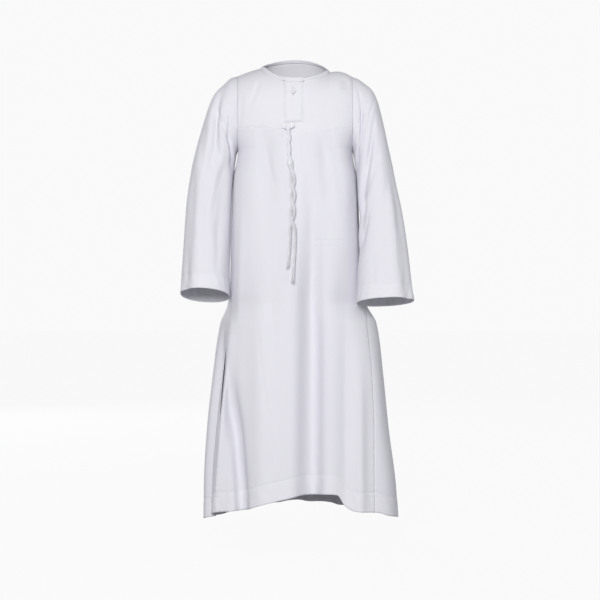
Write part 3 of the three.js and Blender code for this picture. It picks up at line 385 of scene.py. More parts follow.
def cap_end(face, u, base):
    """Where a column ends over the shoulder: its turn, x, reach back or forward, and height."""
    away = np.abs(u) / NECK_SHARE
    seam_y = SHOULDER_Y + (0.1 if face == "back" else 0)
    t = np.clip((np.abs(u) - NECK_SHARE) / (1 - NECK_SHARE), 0, 1)
    armhole = np.where(u < 0, ARMHOLE["left"], ARMHOLE["right"])
    shoulder_z = np.where(u < 0, SHOULDER_Z["left"], SHOULDER_Z["right"])
    side_x = lerp(NECK["x"] + np.sign(u) * NECK["half"], armhole, t)
    crown = np.where(u < 0, SHOULDER_CROWN["left"], SHOULDER_CROWN["right"])
    side_z = lerp(NECK["sideZ"] + np.sign(u) * NECK["tilt"], shoulder_z, t) + crown * 4 * t * (1 - t)
    round_neck = neck_turn(np.clip(u / NECK_SHARE, -1, 1))
    neck_z = NECK["sideZ"] + NECK["tilt"] * np.sin(round_neck)
    x = NECK["x"] + NECK["half"] * np.sin(round_neck)
    y = lerp(seam_y, NECK[face], np.cos(round_neck))
    if face == "front":
        lean = np.arccos((seam_y - y) / (seam_y - base[..., 1]))
        reach, z = seam_y - base[..., 1], lerp(NECK["crownZ"], neck_z, smooth(away * 1.3))
    else:
        lean = lerp(BACK_LEAN, np.pi / 2, smooth((away - 0.4) / 0.6))
        reach = (y - base[..., 1]) / (1 - np.cos(lean))
        rise = lerp(neck_z, NECK["backZ"], np.abs(np.cos(round_neck)) ** 1.4) - CHEST_Z
        z = CHEST_Z + rise / np.sin(lean)
    side = away >= 1
    return (
        np.where(side, np.pi / 2, lean),
        np.where(side, side_x, x),
        np.where(side, seam_y - base[..., 1], reach),
        np.where(side, side_z, z),
    )


def panel_point(face, u, v):
    """Points of the front or back. v is the height from chest level below it, and above it the
    share of the way to the upper edge."""
    u, v = np.broadcast_arrays(np.asarray(u, float), np.asarray(v, float))
    z = CHEST_Z + np.minimum(v, 0)
    low = body_point(panel_turn(face, u, z), z)
    turn, x, reach, top = cap_end(face, u, low)
    at = np.clip(v, 0, 1) * turn
    over = 1 - np.cos(at)
    high = np.stack(
        [
            lerp(low[..., 0], x, over / (1 - np.cos(turn))),
            low[..., 1] + reach * over,
            lerp(CHEST_Z, top, np.sin(at)),
        ],
        -1,
    )
    return np.where((v > 0)[..., None], high, low)


def hem_height(face, u):
    """Height of the hem's edge under a column of the front or back."""
    at_hem = np.full(np.shape(u), float(FOLD_BOTTOM_Z + HEM_DEPTH))
    turn = panel_turn(face, np.asarray(u, float), at_hem)
    return hem_edge(np.degrees(np.arctan2(np.sin(turn), np.cos(turn))))

# %% [markdown]
# ## Small creases
# Pressed lines, pulls at the armholes and soft dents are what make cloth look like cloth. Each
# one is a line drawn on the garment as seen from the front (x and z), with half its width and
# its depth, and it fades at both ends. A few slow waves keep the rest of the cloth from being
# perfectly smooth, and short ones near a seam show that the thread pulls at it.


# %% Creases on a sheet
def crease_depth(x, z, path, half, depth, keen=2.0):
    """How deep one crease is at each place. keen is 2 for a soft trough and 1 for a sharp line."""
    path = np.array(path, float)
    spans = np.linalg.norm(np.diff(path, axis=0), axis=1)
    reached = np.concatenate([[0], np.cumsum(spans)])
    nearest, along = np.full(x.shape, 1e9), np.zeros(x.shape)
    for (ax, az), (bx, bz), span, begun in zip(path[:-1], path[1:], spans, reached):
        t = np.clip(((x - ax) * (bx - ax) + (z - az) * (bz - az)) / span**2, 0, 1)
        away = np.hypot(x - lerp(ax, bx, t), z - lerp(az, bz, t))
        along = np.where(away < nearest, begun + t * span, along)
        nearest = np.minimum(nearest, away)
    ends = smooth(along / (0.3 * reached[-1])) * smooth((reached[-1] - along) / (0.3 * reached[-1]))
    return depth * ends * np.exp(-((nearest / half) ** keen))


def slow_waves(x, z, seed, size):
    """A few long waves of cloth that isn't quite flat, always the same for the same seed."""
    rng = np.random.default_rng(seed)
    total = np.zeros(x.shape)
    for length in (95, 60, 38):
        for _ in range(3):
            tilt, phase = rng.uniform(-0.5, 0.5), rng.uniform(0, 6.28)
            slant = x * math.cos(tilt) + z * 0.45 * math.sin(tilt)
            total += np.sin(6.28 * slant / length + phase) * length / 95
    return size * total / 3


def sheet_normals(points, closed=False):
    """Directions out of a grid of points, from its two directions across and along."""
    if closed:
        ring = points[:-1]
        across = np.roll(ring, -1, 0) - np.roll(ring, 1, 0)
        across = np.concatenate([across, across[:1]])
    else:
        across = np.gradient(points, axis=0)
    normal = np.cross(across, np.gradient(points, axis=1))
    return normal / np.maximum(np.linalg.norm(normal, axis=-1, keepdims=True), 1e-9)


# %% [markdown]
# ## A sheet of cloth
# Every panel starts as a flat grid, as cloth starts on the cutting table, and its points are
# moved to their places on the garment. The grid keeps a UV map in metres of cloth, so the weave
# runs along the threads. A Solidify modifier gives it a thickness, twice as much where it is
# turned up and doubled, and a mark on the points tells the material where that is.


# %% Cloth helper
CLOTH, DOUBLE = 0.55, 1.1


def cloth(name, points, sign, finish, double=None, closed=False, missing=None):
    """A thin sheet through a grid of points (millimetres). sign is 1 where across, along and out
    form a right hand. double marks turned-up places, missing the cells that are cut away."""
    across, along = points.shape[:2]
    bm = bmesh.new()
    bmesh.ops.create_grid(bm, x_segments=across - 1, y_segments=along - 1, size=0.5)
    bm.verts.ensure_lookup_table()
    i = np.array([round((v.co.x + 0.5) * (across - 1)) for v in bm.verts])
    j = np.array([round((v.co.y + 0.5) * (along - 1)) for v in bm.verts])
    steps = np.linalg.norm(np.diff(points, axis=0), axis=-1)
    width = np.concatenate([np.zeros((1, along)), np.cumsum(steps, 0)]) * MM
    width -= width[across // 2]
    rise = np.linalg.norm(np.diff(points, axis=1), axis=-1).mean(0)
    length = np.concatenate([[0], np.cumsum(rise)]) * MM
    layer = bm.loops.layers.uv.new("cloth")
    doubled = np.zeros((across, along)) if double is None else double
    mark = bm.verts.layers.float.new("double")
    for v, a, b in zip(bm.verts, i, j):
        v.co = points[a, b] * MM
        v[mark] = doubled[a, b]
    place = dict(zip((v.index for v in bm.verts), zip(i, j)))
    for face in bm.faces:
        for loop in face.loops:
            a, b = place[loop.vert.index]
            loop[layer].uv = (width[a, b], length[b])
    if missing is not None:
        gone = [f for f in bm.faces if missing(*np.min([place[v.index] for v in f.verts], 0))]
        bmesh.ops.delete(bm, geom=gone, context="FACES")
    if closed:
        bmesh.ops.remove_doubles(bm, verts=bm.verts, dist=1e-6)
    if sign < 0:
        bmesh.ops.reverse_faces(bm, faces=bm.faces)
    piece = finish_piece(name, bm, thickness=DOUBLE, thin=CLOTH / DOUBLE)
    piece.data.materials.append(finish)
    print(f"{name}: {len(piece.data.vertices)} points, area {cloth_area(points):.4f} m2")
    return piece


def add_piece(name, mesh):
    """An object in the frame, carried by the garment's one body."""
    piece = bpy.data.objects.new(name, mesh)
    bpy.context.collection.objects.link(piece)
    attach(piece, "root")
    return piece


def finish_piece(name, bm, thickness=0.0, thin=1.0):
    """Makes an object of a bmesh, in the frame, with a wall where one is asked for."""
    for face in bm.faces:
        face.smooth = True
    mesh = bpy.data.meshes.new(name)
    bm.to_mesh(mesh)
    bm.free()
    piece = add_piece(name, mesh)
    if thickness:
        marks = np.zeros(len(mesh.vertices), np.float32)
        mesh.attributes["double"].data.foreach_get("value", marks)
        group = piece.vertex_groups.new(name="thick")
        for value in (0, 1):
            group.add(np.flatnonzero(np.round(marks) == value).tolist(), value, "REPLACE")
        wall = piece.modifiers.new("wall", "SOLIDIFY")
        wall.thickness, wall.offset = thickness * MM, -1
        wall.vertex_group, wall.thickness_vertex_group = "thick", thin
    return piece


def cloth_area(points):
    """Area of a grid of points, in square metres."""
    across, along = np.diff(points, axis=0)[:, :-1], np.diff(points, axis=1)[:-1]
    return float(np.linalg.norm(np.cross(across, along), axis=-1).sum()) * MM * MM


# %% [markdown]
# ## The finish of the cloth
# The cloth is a light plain weave of cotton and polyester, white with a cool cast. Up close it
# has fine crossing threads, and from further away faint streaks where the warp is thicker. One
# layer lets a little light through, so it looks greyer than the doubled hem, cuffs and chest. The
# neckband and the placket are double all over, so they have the lighter shade only.
# The weave is a node group, because every cloth piece uses it with its own values.


# %% The weave group
def new_group(name, inputs, outputs):
    group = bpy.data.node_groups.new(name, "ShaderNodeTree")
    for kind, label, value in inputs:
        socket = group.interface.new_socket(label, in_out="INPUT", socket_type=kind)
        if value is not None:
            socket.default_value = value
    for kind, label in outputs:
        group.interface.new_socket(label, in_out="OUTPUT", socket_type=kind)
    return group, group.nodes.new("NodeGroupInput"), group.nodes.new("NodeGroupOutput")


def feed(tree, socket, value):
    """Sets a socket to a value, or joins it to another node's output."""
    if isinstance(value, (int, float, tuple)):
        socket.default_value = value
    else:
        tree.links.new(value, socket)


def math_node(tree, operation, *values):
    node = tree.nodes.new("ShaderNodeMath")
    node.operation = operation
    for socket, value in zip(node.inputs, values):
        feed(tree, socket, value)
    return node.outputs[0]


def stretched(tree, place, scale):
    node = tree.nodes.new("ShaderNodeMapping")
    feed(tree, node.inputs["Scale"], scale)
    feed(tree, node.inputs["Vector"], place)
    return node.outputs["Vector"]


def noise(tree, place, scale, detail):
    node = tree.nodes.new("ShaderNodeTexNoise")
    for name, value in (("Scale", scale), ("Detail", detail), ("Vector", place)):
        feed(tree, node.inputs[name], value)
    return node.outputs["Fac"]


def add_bump(tree, shader, height, strength, distance):
    node = tree.nodes.new("ShaderNodeBump")
    for name, value in (("Strength", strength), ("Distance", distance), ("Height", height)):
        feed(tree, node.inputs[name], value)
    tree.links.new(node.outputs["Normal"], shader.inputs["Normal"])


THREADS_PER_METRE = 1400.0
weave, weave_in, weave_out = new_group(
    "plain_weave",
    [("NodeSocketVector", "Place", None), ("NodeSocketFloat", "Threads", THREADS_PER_METRE)],
    [("NodeSocketFloat", "Height"), ("NodeSocketFloat", "Streak")],
)
split = weave.nodes.new("ShaderNodeSeparateXYZ")
weave.links.new(weave_in.outputs["Place"], split.inputs[0])
turns = math_node(weave, "MULTIPLY", weave_in.outputs["Threads"], math.pi)
warp = math_node(weave, "SINE", math_node(weave, "MULTIPLY", split.outputs["X"], turns))
weft = math_node(weave, "SINE", math_node(weave, "MULTIPLY", split.outputs["Y"], turns))
crossing = math_node(weave, "MULTIPLY", warp, weft)
weave.links.new(math_node(weave, "MULTIPLY_ADD", crossing, 0.5), weave_out.inputs["Height"])
SLUBS_PER_METRE = (330, 9, 1)
slub = noise(weave, stretched(weave, weave_in.outputs["Place"], SLUBS_PER_METRE), 1.0, 3.0)
weave.links.new(slub, weave_out.inputs["Streak"])


# %% Cloth materials
def mix_colour(tree, factor, a, b):
    node = tree.nodes.new("ShaderNodeMix")
    node.data_type = "RGBA"
    for number, value in ((0, factor), (6, a), (7, b)):
        feed(tree, node.inputs[number], value)
    return node.outputs[2]


def cloth_material(name, single, doubled):
    """White cloth: two shades by the mark of doubled places, faint streaks, a woven bump."""
    material, tree, shader = new_material(name, 0.82)
    shader.inputs["Sheen Weight"].default_value = 0.12
    shader.inputs["Sheen Roughness"].default_value = 0.5
    shader.inputs["Specular IOR Level"].default_value = 0.25
    place = tree.nodes.new("ShaderNodeUVMap")
    place.uv_map = "cloth"
    threads_node = tree.nodes.new("ShaderNodeGroup")
    threads_node.node_tree = weave
    threads_node.inputs["Threads"].default_value = THREADS_PER_METRE
    tree.links.new(place.outputs["UV"], threads_node.inputs["Place"])
    mark = tree.nodes.new("ShaderNodeAttribute")
    mark.attribute_name = "double"
    shade = mix_colour(tree, mark.outputs["Fac"], (*single, 1), (*doubled, 1))
    streak = math_node(tree, "MULTIPLY_ADD", threads_node.outputs["Streak"], 0.06, -0.03)
    dark = tuple(0.86 * c for c in single)
    shade = mix_colour(tree, math_node(tree, "ABSOLUTE", streak), shade, (*dark, 1))
    tree.links.new(shade, shader.inputs["Base Color"])
    add_bump(tree, shader, threads_node.outputs["Height"], 0.25, 0.0001)
    return material


WHITE = (0.70, 0.70, 0.753)
WHITER = (0.72, 0.72, 0.77)
robe_cloth = cloth_material("robe_cloth", WHITE, WHITER)
band_cloth = cloth_material("band_cloth", WHITER, WHITER)
print("materials:", [m.name for m in bpy.data.materials])

# %% [markdown]
# ## The front panel
# The front carries most of what is seen: the doubled chest, whose lower edge is stitched
# through, pressed folds down the skirt, a patch pocket that shows only as a faint line, and the
# turned-up hem.


# %% Rows and columns of a panel
def rows_between(edge, high, count, close=()):
    """Heights from a hem's edge up. They lie closer round the hem's stitches, and round each of
    the heights in close, which are (height, reach) pairs."""
    z = np.linspace(edge, high, 2000)
    need = 1 + 2.2 * np.exp(-(((z - edge - HEM_DEPTH) / 9) ** 2))
    for height, reach in close:
        need += 2.2 * np.exp(-(((z - height) / reach) ** 2))
    reached = np.concatenate([[0], np.cumsum(need[:-1] + need[1:])])
    return np.interp(np.linspace(0, reached[-1], count), reached, z)


def panel_grid(face, columns, below, above, close):
    """Grid places (u, v) of a panel: rows over the hem's edge, then rows over the shoulder."""
    hem = hem_height(face, columns)
    low = np.stack([rows_between(h, CHEST_Z, below, close) - CHEST_Z for h in hem])
    high = np.tile(np.linspace(0, 1, above + 1)[1:], (len(columns), 1))
    v = np.concatenate([low, high], 1)
    u = np.repeat(columns[:, None], v.shape[1], 1)
    above_hem = np.where(v <= 0, CHEST_Z + v - hem[:, None], 999)
    return u, v, above_hem


FACING_U = 0.95
FACING = table(
    "u z", (-1, -113), (-0.55, -113), (-0.2, -120), (0.2, -125.5), (0.5, -121), (0.75, -114), (1, -113)
)
facing_edge = curve(FACING, "z", "u")
FRONT_CREASES = [
    # path (x, z), half width, depth, keenness
    ([(-124, -480), (-118, -598), (-110, -652), (-101, -750), (-94, -1000)], 11, -16, 1.5),
    ([(-72, -440), (-59, -556), (-47, -643), (-28, -731), (-24, -762)], 2.2, -0.9, 1.3),
    ([(-69, -83), (-61, -136), (-51, -180), (-30, -242)], 7, -1.6, 2),
    ([(49, -74), (58, -118), (72, -189), (84, -268)], 7, -1.8, 2),
    ([(16, -170), (26, -277), (23, -335)], 7, -1.4, 2),
    ([(10.7, -124), (10.7, -179)], 1.6, -0.5, 1.5),
    ([(-65, -22), (-74, -52), (-87, -78)], 4, -1.4, 2),
    ([(84, -20), (86, -46)], 6, -2.2, 2),
    ([(-101, -40), (-98, -62), (-100, -96), (-104, -120)], 3.5, -0.7, 2),
    ([(93, -60), (95, -90), (92, -120)], 4, -0.6, 2),
    ([(36, -150), (27, -270), (25, -560), (23, -1150)], 20, -27, 1.6),
    ([(84, -400), (84, -600), (84, -1000)], 8, -1.6, 1.1),
    ([(-96, -240), (-100, -360), (-104, -480)], 6, 1.5, 2),
    ([(-40, -280), (-44, -400), (-38, -520)], 9, -1.2, 2),
]
POCKET = {"left": 24.6, "right": 85.8, "top": -312.7, "stitch": -323.2}


# %% Relief of the front
PANEL_HALF = 110


def groove(away, half):
    """1 on a line and less away from it, by a distance and half a width."""
    return np.exp(-((away / half) ** 2))


def seam_relief(away, z):
    """The groove beside a seam, with the small puckers that its thread pulls."""
    return groove(away, 5) * (0.35 * np.sin(z / 1.9 + 2 * np.sin(z / 17)) - 0.5)


def hem_relief(x, above_hem):
    """The stitched line of the hem, and the slanting ripples that it pulls into the band."""
    band = smooth(above_hem / 8) * (1 - smooth((above_hem - HEM_DEPTH + 4) / 14))
    slant = np.sin((x + 0.55 * above_hem) / 3.3 + 1.7 * np.sin(x / 21))
    return band * 0.32 * slant * (0.6 + 0.4 * np.sin(x / 13.0)) - 0.55 * groove(above_hem - HEM_DEPTH, 1.8)


def panel_relief(x, z, u, above_hem, creases, waves, calm_z):
    """What the front and the back share: slow waves, creases, side seams and the hem."""
    depth = slow_waves(x, z, *waves) * smooth((calm_z - z) / 80)
    for crease in creases:
        depth += crease_depth(x, z, *crease)
    depth += seam_relief((1 - np.abs(u)) * PANEL_HALF, z) * smooth((UNDERARM_Z - z) / 40)
    return depth + hem_relief(x, above_hem)


def front_relief(p, u, above_hem):
    x, z = p[..., 0], p[..., 2]
    depth = panel_relief(x, z, u, above_hem, FRONT_CREASES, (3, 0.55), -60)
    stitched = groove(z - facing_edge(u), 1.6) * (np.abs(u) < FACING_U) * (z > UNDERARM_Z + 10)
    depth += stitched * (0.3 * np.sin(x / 1.7 + np.sin(x / 9)) - 0.45)
    across = smooth((x - POCKET["left"]) / 3) * smooth((POCKET["right"] - x) / 3)
    for height in (POCKET["top"], POCKET["stitch"]):
        depth -= 0.45 * across * groove(z - height, 1.3)
    return depth + gathers(x, z)


GATHER = {"x": -17.5, "z": -112.0, "count": 13, "near": 7.0, "far": 30.0}


def gathers(x, z):
    """Small pulls that fan out from the pinched head of the tassel."""
    dx, dz = x - GATHER["x"], z - GATHER["z"]
    away, turn = np.hypot(dx, dz), np.arctan2(dx, -dz)
    reach = smooth((away - GATHER["near"]) / 4) * (1 - smooth((away - 12) / (GATHER["far"] - 12)))
    low = smooth((GATHER["z"] + 16 - z) / 18)
    return 0.6 * reach * (0.35 + 0.65 * low) * np.sin(turn * GATHER["count"] + 1.2 * np.sin(3 * turn))


# %% Make the front
def panel(face, count, below, above, relief, close=(), slit=None):
    columns = np.linspace(-1, 1, count)
    if slit is not None:
        first = int(np.abs(columns - slit).argmin())
        columns[first], columns[first + 1] = slit - SLIT_HALF, slit + SLIT_HALF
    u, v, above_hem = panel_grid(face, columns, below, above, close)
    points = panel_point(face, u, v)
    sign = 1 if face == "front" else -1
    normals = sheet_normals(points) * sign
    points = points + normals * relief(points, u, above_hem)[..., None]
    high = points[..., 2] > UNDERARM_Z - 1
    points[0, high[0], 0] = ARMHOLE["left"]
    points[-1, high[-1], 0] = ARMHOLE["right"]
    return columns, u, above_hem, points, sheet_normals(points) * sign


SLIT_U, SLIT_HALF, SLIT_FOOT_Z = -0.0146, 0.003, -106
CHEST_ROWS, POCKET_ROWS = (-119, 12), (POCKET["top"] - 5, 10)
columns, front_u, front_above, front_points, front_normals = panel(
    "front", 141, 290, 28, front_relief, close=(CHEST_ROWS, POCKET_ROWS), slit=SLIT_U
)
slit_column = int(np.abs(columns - (SLIT_U - SLIT_HALF)).argmin())
double = (front_above < HEM_DEPTH) * 1.0
chest = (front_points[..., 2] > facing_edge(front_u)) & (np.abs(front_u) < FACING_U)
double = np.maximum(double, chest * 1.0)
front = cloth(
    "front_cloth",
    front_points,
    1,
    robe_cloth,
    double,
    missing=lambda i, j: i == slit_column and front_points[i, j, 2] > SLIT_FOOT_Z,
)

# %% [markdown]
# ## The back panel
# The back has the same cut, and hangs in four long flutes. Nothing is sewn on it.

# %% Make the back
BACK_CREASES = [
    ([(-60, -40), (-72, -80), (-84, -118)], 6, -1.5, 2),
    ([(58, -42), (70, -84), (80, -120)], 6, -1.5, 2),
    ([(-20, -60), (-26, -120), (-22, -200)], 9, -1.2, 2),
    ([(34, -90), (40, -170), (48, -260)], 8, -1.3, 2),
    ([(-90, -150), (-70, -230), (-60, -330)], 7, -1.4, 2),
    ([(84, -160), (60, -240), (52, -330)], 7, -1.4, 2),
    ([(2, -330), (-4, -460), (-6, -600)], 6, 1.2, 2),
    ([(-62, -430), (-64, -560), (-62, -700)], 5, -1.2, 2),
    ([(50, -400), (54, -540), (52, -690)], 5, -1.2, 2),
]


def back_relief(p, u, above_hem):
    return panel_relief(p[..., 0], p[..., 2], u, above_hem, BACK_CREASES, (8, 0.6), -40)


_, _, back_above, back_points, back_normals = panel("back", 121, 230, 26, back_relief)
back = cloth("back_cloth", back_points, -1, robe_cloth, (back_above < HEM_DEPTH) * 1.0)

# %% [markdown]
# ## The side gores
# A gore is a long wedge sewn between the front and the back, from the underarm to the hem. It
# gives the skirt its flare. Its edges meet the panels with a hair's gap, as two pieces do at a
# seam.

# %% Make the gores
GORE_GAP = 0.1


def gore(side, count, rows):
    turn_back = 2 * np.pi if side == "left" else 0
    u = np.linspace(0, 1, count)
    at_hem = np.full(count, float(FOLD_BOTTOM_Z + HEM_DEPTH))
    ends = [edge_turn("front", side, at_hem), edge_turn("back", side, at_hem) - turn_back]
    hem = hem_edge(np.degrees(lerp(*ends, u)))
    z = np.stack([rows_between(h, UNDERARM_Z - 0.3, rows) for h in hem])
    first, last = edge_turn("front", side, z), edge_turn("back", side, z) - turn_back
    near = [body_point(t, z) for t in (first, last)]
    speed = [
        np.linalg.norm(body_point(lerp(a, b, 0.01), z) - p, axis=-1) / 0.01
        for a, b, p in ((first, last, near[0]), (last, first, near[1]))
    ]
    start, stop = lerp(first, last, GORE_GAP / speed[0]), lerp(last, first, GORE_GAP / speed[1])
    points = body_point(turn_by_length(start, stop, u[:, None] + 0 * z, z), z)
    sign = -1 if side == "left" else 1
    above_hem = z - hem[:, None]
    y = points[..., 1]
    width = 30 + 100 * smooth((UNDERARM_Z - z) / 600)
    edge = np.minimum(u, 1 - u)[:, None] * width
    depth = seam_relief(edge, z)
    depth += slow_waves(y, z, 21 + sign, 0.5) * smooth(edge / 14)
    depth += hem_relief(y, above_hem)
    normals = sheet_normals(points) * sign
    points = points + normals * depth[..., None]
    return points, sheet_normals(points) * sign, above_hem, sign


gores = {}
for side in ("left", "right"):
    points, normals, above_hem, sign = gore(side, 53, 220)
    piece = cloth(f"gore_{side}_cloth", points, sign, robe_cloth, (above_hem < HEM_DEPTH) * 1.0)
    gores[side] = {"piece": piece, "points": points, "normals": normals, "above": above_hem}

# %% [markdown]
# ## The sleeves
# A sleeve is a straight tube. It leaves the armhole in the armhole's own shape, bends down over
# the upper arm, hangs in an oval and ends in a cuff with a turned-up hem. The table gives the
# outer and inner point of each ring, how far forward it hangs, its reach to front and back, and
# how much lower its back edge is.

# %% Sleeve tables
RING = "outer_x outer_z inner_x inner_z y reach drop"
SLEEVES = {
    "left": table(
        RING,
        (-106.3, -14.5, -106.3, -150, 0, 46, 0),
        (-119, -18.5, -106.8, -151.6, -0.5, 46, 0),
        (-134, -32, -107.6, -154, -1, 45.5, 0),
        (-147, -46, -108.7, -158, -2, 45, 0),
        (-157, -66, -109.9, -164.5, -3.5, 44, 0),
        (-165, -90, -111.3, -174, -5, 43, 1),
        (-172.5, -115, -113, -187, -7, 41.5, 2),
        (-180, -142, -114.6, -203, -9.5, 40.5, 4),
        (-187.5, -172, -116, -222, -12.5, 40, 6),
        (-193.5, -205, -117.2, -245, -15.5, 40, 9),
        (-198, -240, -118.2, -271, -18.5, 40.5, 12),
        (-201, -279, -119.2, -301, -23, 41.5, 15),
        (-203.5, -322, -119.9, -335, -29, 43.5, 19),
        (-206, -368, -120.1, -373, -36, 45.5, 23),
        (-207.5, -394, -119.6, -399, -40, 46.5, 25),
    ),
    "right": table(
        RING,
        (99.3, -16, 99.3, -150, 0, 46, 0),
        (108, -19.5, 99.8, -151.6, -1, 46, 0),
        (122, -30, 100.5, -154, -2.5, 45.5, 0),
        (134, -41, 101.4, -158, -4.5, 45, 0),
        (143, -60, 102.4, -164.5, -8, 44, 0),
        (149.5, -84, 103.7, -174, -12, 43, 1),
        (155.5, -110, 105.3, -187, -16.5, 41.5, 2),
        (161.5, -138, 106.8, -204, -21.5, 40.5, 3),
        (169, -170, 107.9, -225, -27, 40, 5),
        (176.5, -208, 108.5, -250, -34.5, 40, 7),
        (185.5, -250, 108.8, -281, -42, 40.5, 9),
        (192.5, -295, 108.4, -315, -50, 41.5, 11),
        (198, -340, 107.4, -351, -58, 43.5, 13),
        (202.5, -385, 106, -390, -66, 45.5, 15),
        (206.3, -410.5, 105, -415.3, -69, 46.5, 16),
    ),
}
SLEEVE_FOLDS = {
    "left": table(
        "top bottom start full fade end half depth",
        (35, 84, 1.4, 4, 6, 11, 11, -8),
        (70, 150, 0.5, 3, 4.8, 7, 9, -5),
        (128, 124, 4, 7, 10, 13, 12, -5),
        (40, 44, 7, 10.5, 17, 20, 13, -5),
        (-75, -105, 2, 5, 10, 14, 13, -7),
    ),
    "right": table(
        "top bottom start full fade end half depth",
        (28, 150, 0.5, 3, 4.2, 6.5, 9, -6),
        (50, 150, 4, 6.5, 8.5, 12, 11, -8),
        (30, 42, 6.3, 10, 17, 20, 14, -5),
        (-70, -110, 2, 5, 10, 14, 13, -7),
    ),
}
SLEEVE_CREASES = {
    "left": [
        ([(-151, -66), (-140, -92), (-128, -118), (-114, -146)], 2.6, -1.9, 1.3),
        ([(-150, -60), (-144, -108), (-138, -160), (-136, -200)], 5, -2.0, 2),
        ([(-139, -84), (-125, -114), (-113, -146)], 4.5, -2.4, 2),
        ([(-112, -50), (-109, -80), (-112, -118)], 4, -1.4, 2),
        ([(-160, -90), (-168, -140), (-172, -200)], 6, -1.6, 2),
        ([(-128, -170), (-140, -220), (-152, -290)], 6, -1.8, 2),
        ([(-170, -230), (-166, -300), (-168, -370)], 6, -1.5, 2),
        ([(-140, -270), (-138, -330), (-142, -385)], 5, -1.3, 2),
        ([(-190, -220), (-192, -290), (-194, -360)], 4, 1.0, 2),
    ],
    "right": [
        ([(136, -56), (123, -73), (114, -94), (104, -122)], 4.5, -2.2, 2),
        ([(142, -50), (128, -92), (116, -120), (107, -146)], 2.6, -1.9, 1.3),
        ([(133, -158), (124, -205), (113, -254), (108, -277)], 2.8, -2.0, 1.3),
        ([(128, -259), (118, -296), (108, -326)], 2.8, -1.6, 1.3),
        ([(146, -140), (138, -180), (123, -222), (116, -242), (108, -277), (106, -303)], 5, -2.6, 2),
        ([(128, -250), (114, -312), (106, -352)], 5, -2.0, 2),
        ([(158, -150), (160, -210), (150, -290), (146, -360)], 7, -1.6, 2),
        ([(176, -240), (180, -310), (184, -390)], 6, -1.4, 2),
        ([(134, -330), (132, -380), (136, -405)], 5, -1.1, 2),
    ],
}


# %% Make the sleeves
LAST_RING, CUFF_HEM, SLEEVE_SQUARE = 14, 26, 2.2


def sleeve_point(side, degrees, ring):
    rows = {"i": np.arange(LAST_RING + 1.0), **SLEEVES[side]}
    at = {key: curve(rows, key, "i")(ring) for key in RING.split()}
    turn = np.radians(degrees)
    forward, up = np.sin(turn), np.cos(turn)
    scale = (np.abs(forward) ** SLEEVE_SQUARE + np.abs(up) ** SLEEVE_SQUARE) ** (-1 / SLEEVE_SQUARE)
    top = SLEEVES[side]["outer_z"][0]
    middle_z, half_z = (top + UNDERARM_Z) / 2, (top - UNDERARM_Z) / 2
    z = np.where(up >= 0, lerp(CHEST_Z, top, up), CHEST_Z + (CHEST_Z - UNDERARM_Z) * up)
    reach = np.where(forward >= 0, ARMHOLE_REACH["front"], ARMHOLE_REACH["back"])
    y = np.where(up >= 0, SHOULDER_Y * (1 - np.abs(forward)), 0) - reach * forward
    blend = smooth(ring / 3)
    forward = lerp(-y / ARMHOLE_REACH["front"], forward * scale, blend)
    out = lerp((z - middle_z) / half_z, up * scale, blend)
    x = lerp(at["inner_x"], at["outer_x"], (1 + out) / 2)
    z = lerp(at["inner_z"], at["outer_z"], (1 + out) / 2) - at["drop"] * (1 - forward) / 2
    return np.stack([x, at["y"] - at["reach"] * forward, z], -1), at["reach"]


def sleeve(side, count, rows):
    degrees = np.linspace(0, 360, count)[:, None] + np.zeros((1, rows))
    ring = np.linspace(0, LAST_RING, rows)[None, :] + np.zeros((count, 1))
    points, reach = sleeve_point(side, degrees, ring)
    sign = -1 if side == "left" else 1
    normals = sheet_normals(points, closed=True) * sign
    depth = np.zeros(degrees.shape)
    for top, bottom, start, full, fade, end, wide, deep in zip(*SLEEVE_FOLDS[side].values()):
        place = lerp(top, bottom, np.clip((ring - start) / (fade - start), 0, 1))
        turn = np.radians(degrees - place)
        away = np.arctan2(np.sin(turn), np.cos(turn)) * reach / wide
        depth += deep * fold_strength(ring, start, full, fade, end) * np.exp(-away * away)
    x, z = points[..., 0], points[..., 2]
    facing = smooth(-normals[..., 1] * 3 + 0.2)
    for path, half, deep, keen in SLEEVE_CREASES[side]:
        depth += facing * crease_depth(x, z, path, half, deep, keen)
        shifted = [(px * 0.97, pz - 18) for px, pz in path]
        depth += (1 - facing) * crease_depth(x, z, shifted, half * 1.2, deep, keen)
    depth += slow_waves(x * 0.6 + points[..., 1], z, 5 if side == "left" else 6, 0.6) * smooth(ring / 2)
    above = (LAST_RING - ring) * CUFF_HEM
    band = smooth(above / 6) * (1 - smooth((above - CUFF_HEM + 2) / 12))
    arc = np.radians(degrees) * reach
    ripple = band * 0.3 * np.sin((arc + 0.5 * above) / 3.1 + 1.6 * np.sin(arc / 19))
    depth += ripple - 0.5 * groove(above - CUFF_HEM, 1.8)
    depth += groove(ring * 14, 4) * (0.2 * np.sin(arc / 1.8 + np.sin(arc / 11)) - 0.1)
    points = points + normals * depth[..., None]
    plane = ARMHOLE[side] + sign * 0.06
    clamp = np.minimum if side == "left" else np.maximum
    points[:, :, 0] = clamp(points[:, :, 0], plane)
    points[:, 0, 0] = plane
    points[-1] = points[0]
    return points, sheet_normals(points, closed=True) * sign, above, sign


sleeves = {}
for side in ("left", "right"):
    points, normals, above, sign = sleeve(side, 141, 180)
    hem = (above < CUFF_HEM) * 1.0
    piece = cloth(f"sleeve_{side}_cloth", points, sign, robe_cloth, hem, closed=True)
    sleeves[side] = {"piece": piece, "points": points, "normals": normals, "above": above}

# %% [markdown]
# ## The facing behind the chest
# The chest is doubled by a facing that lies against the inside of the front. Only its lower edge
# shows, from below and through the neck, so it is a plain sheet a little inside the front, slit
# in the same place.

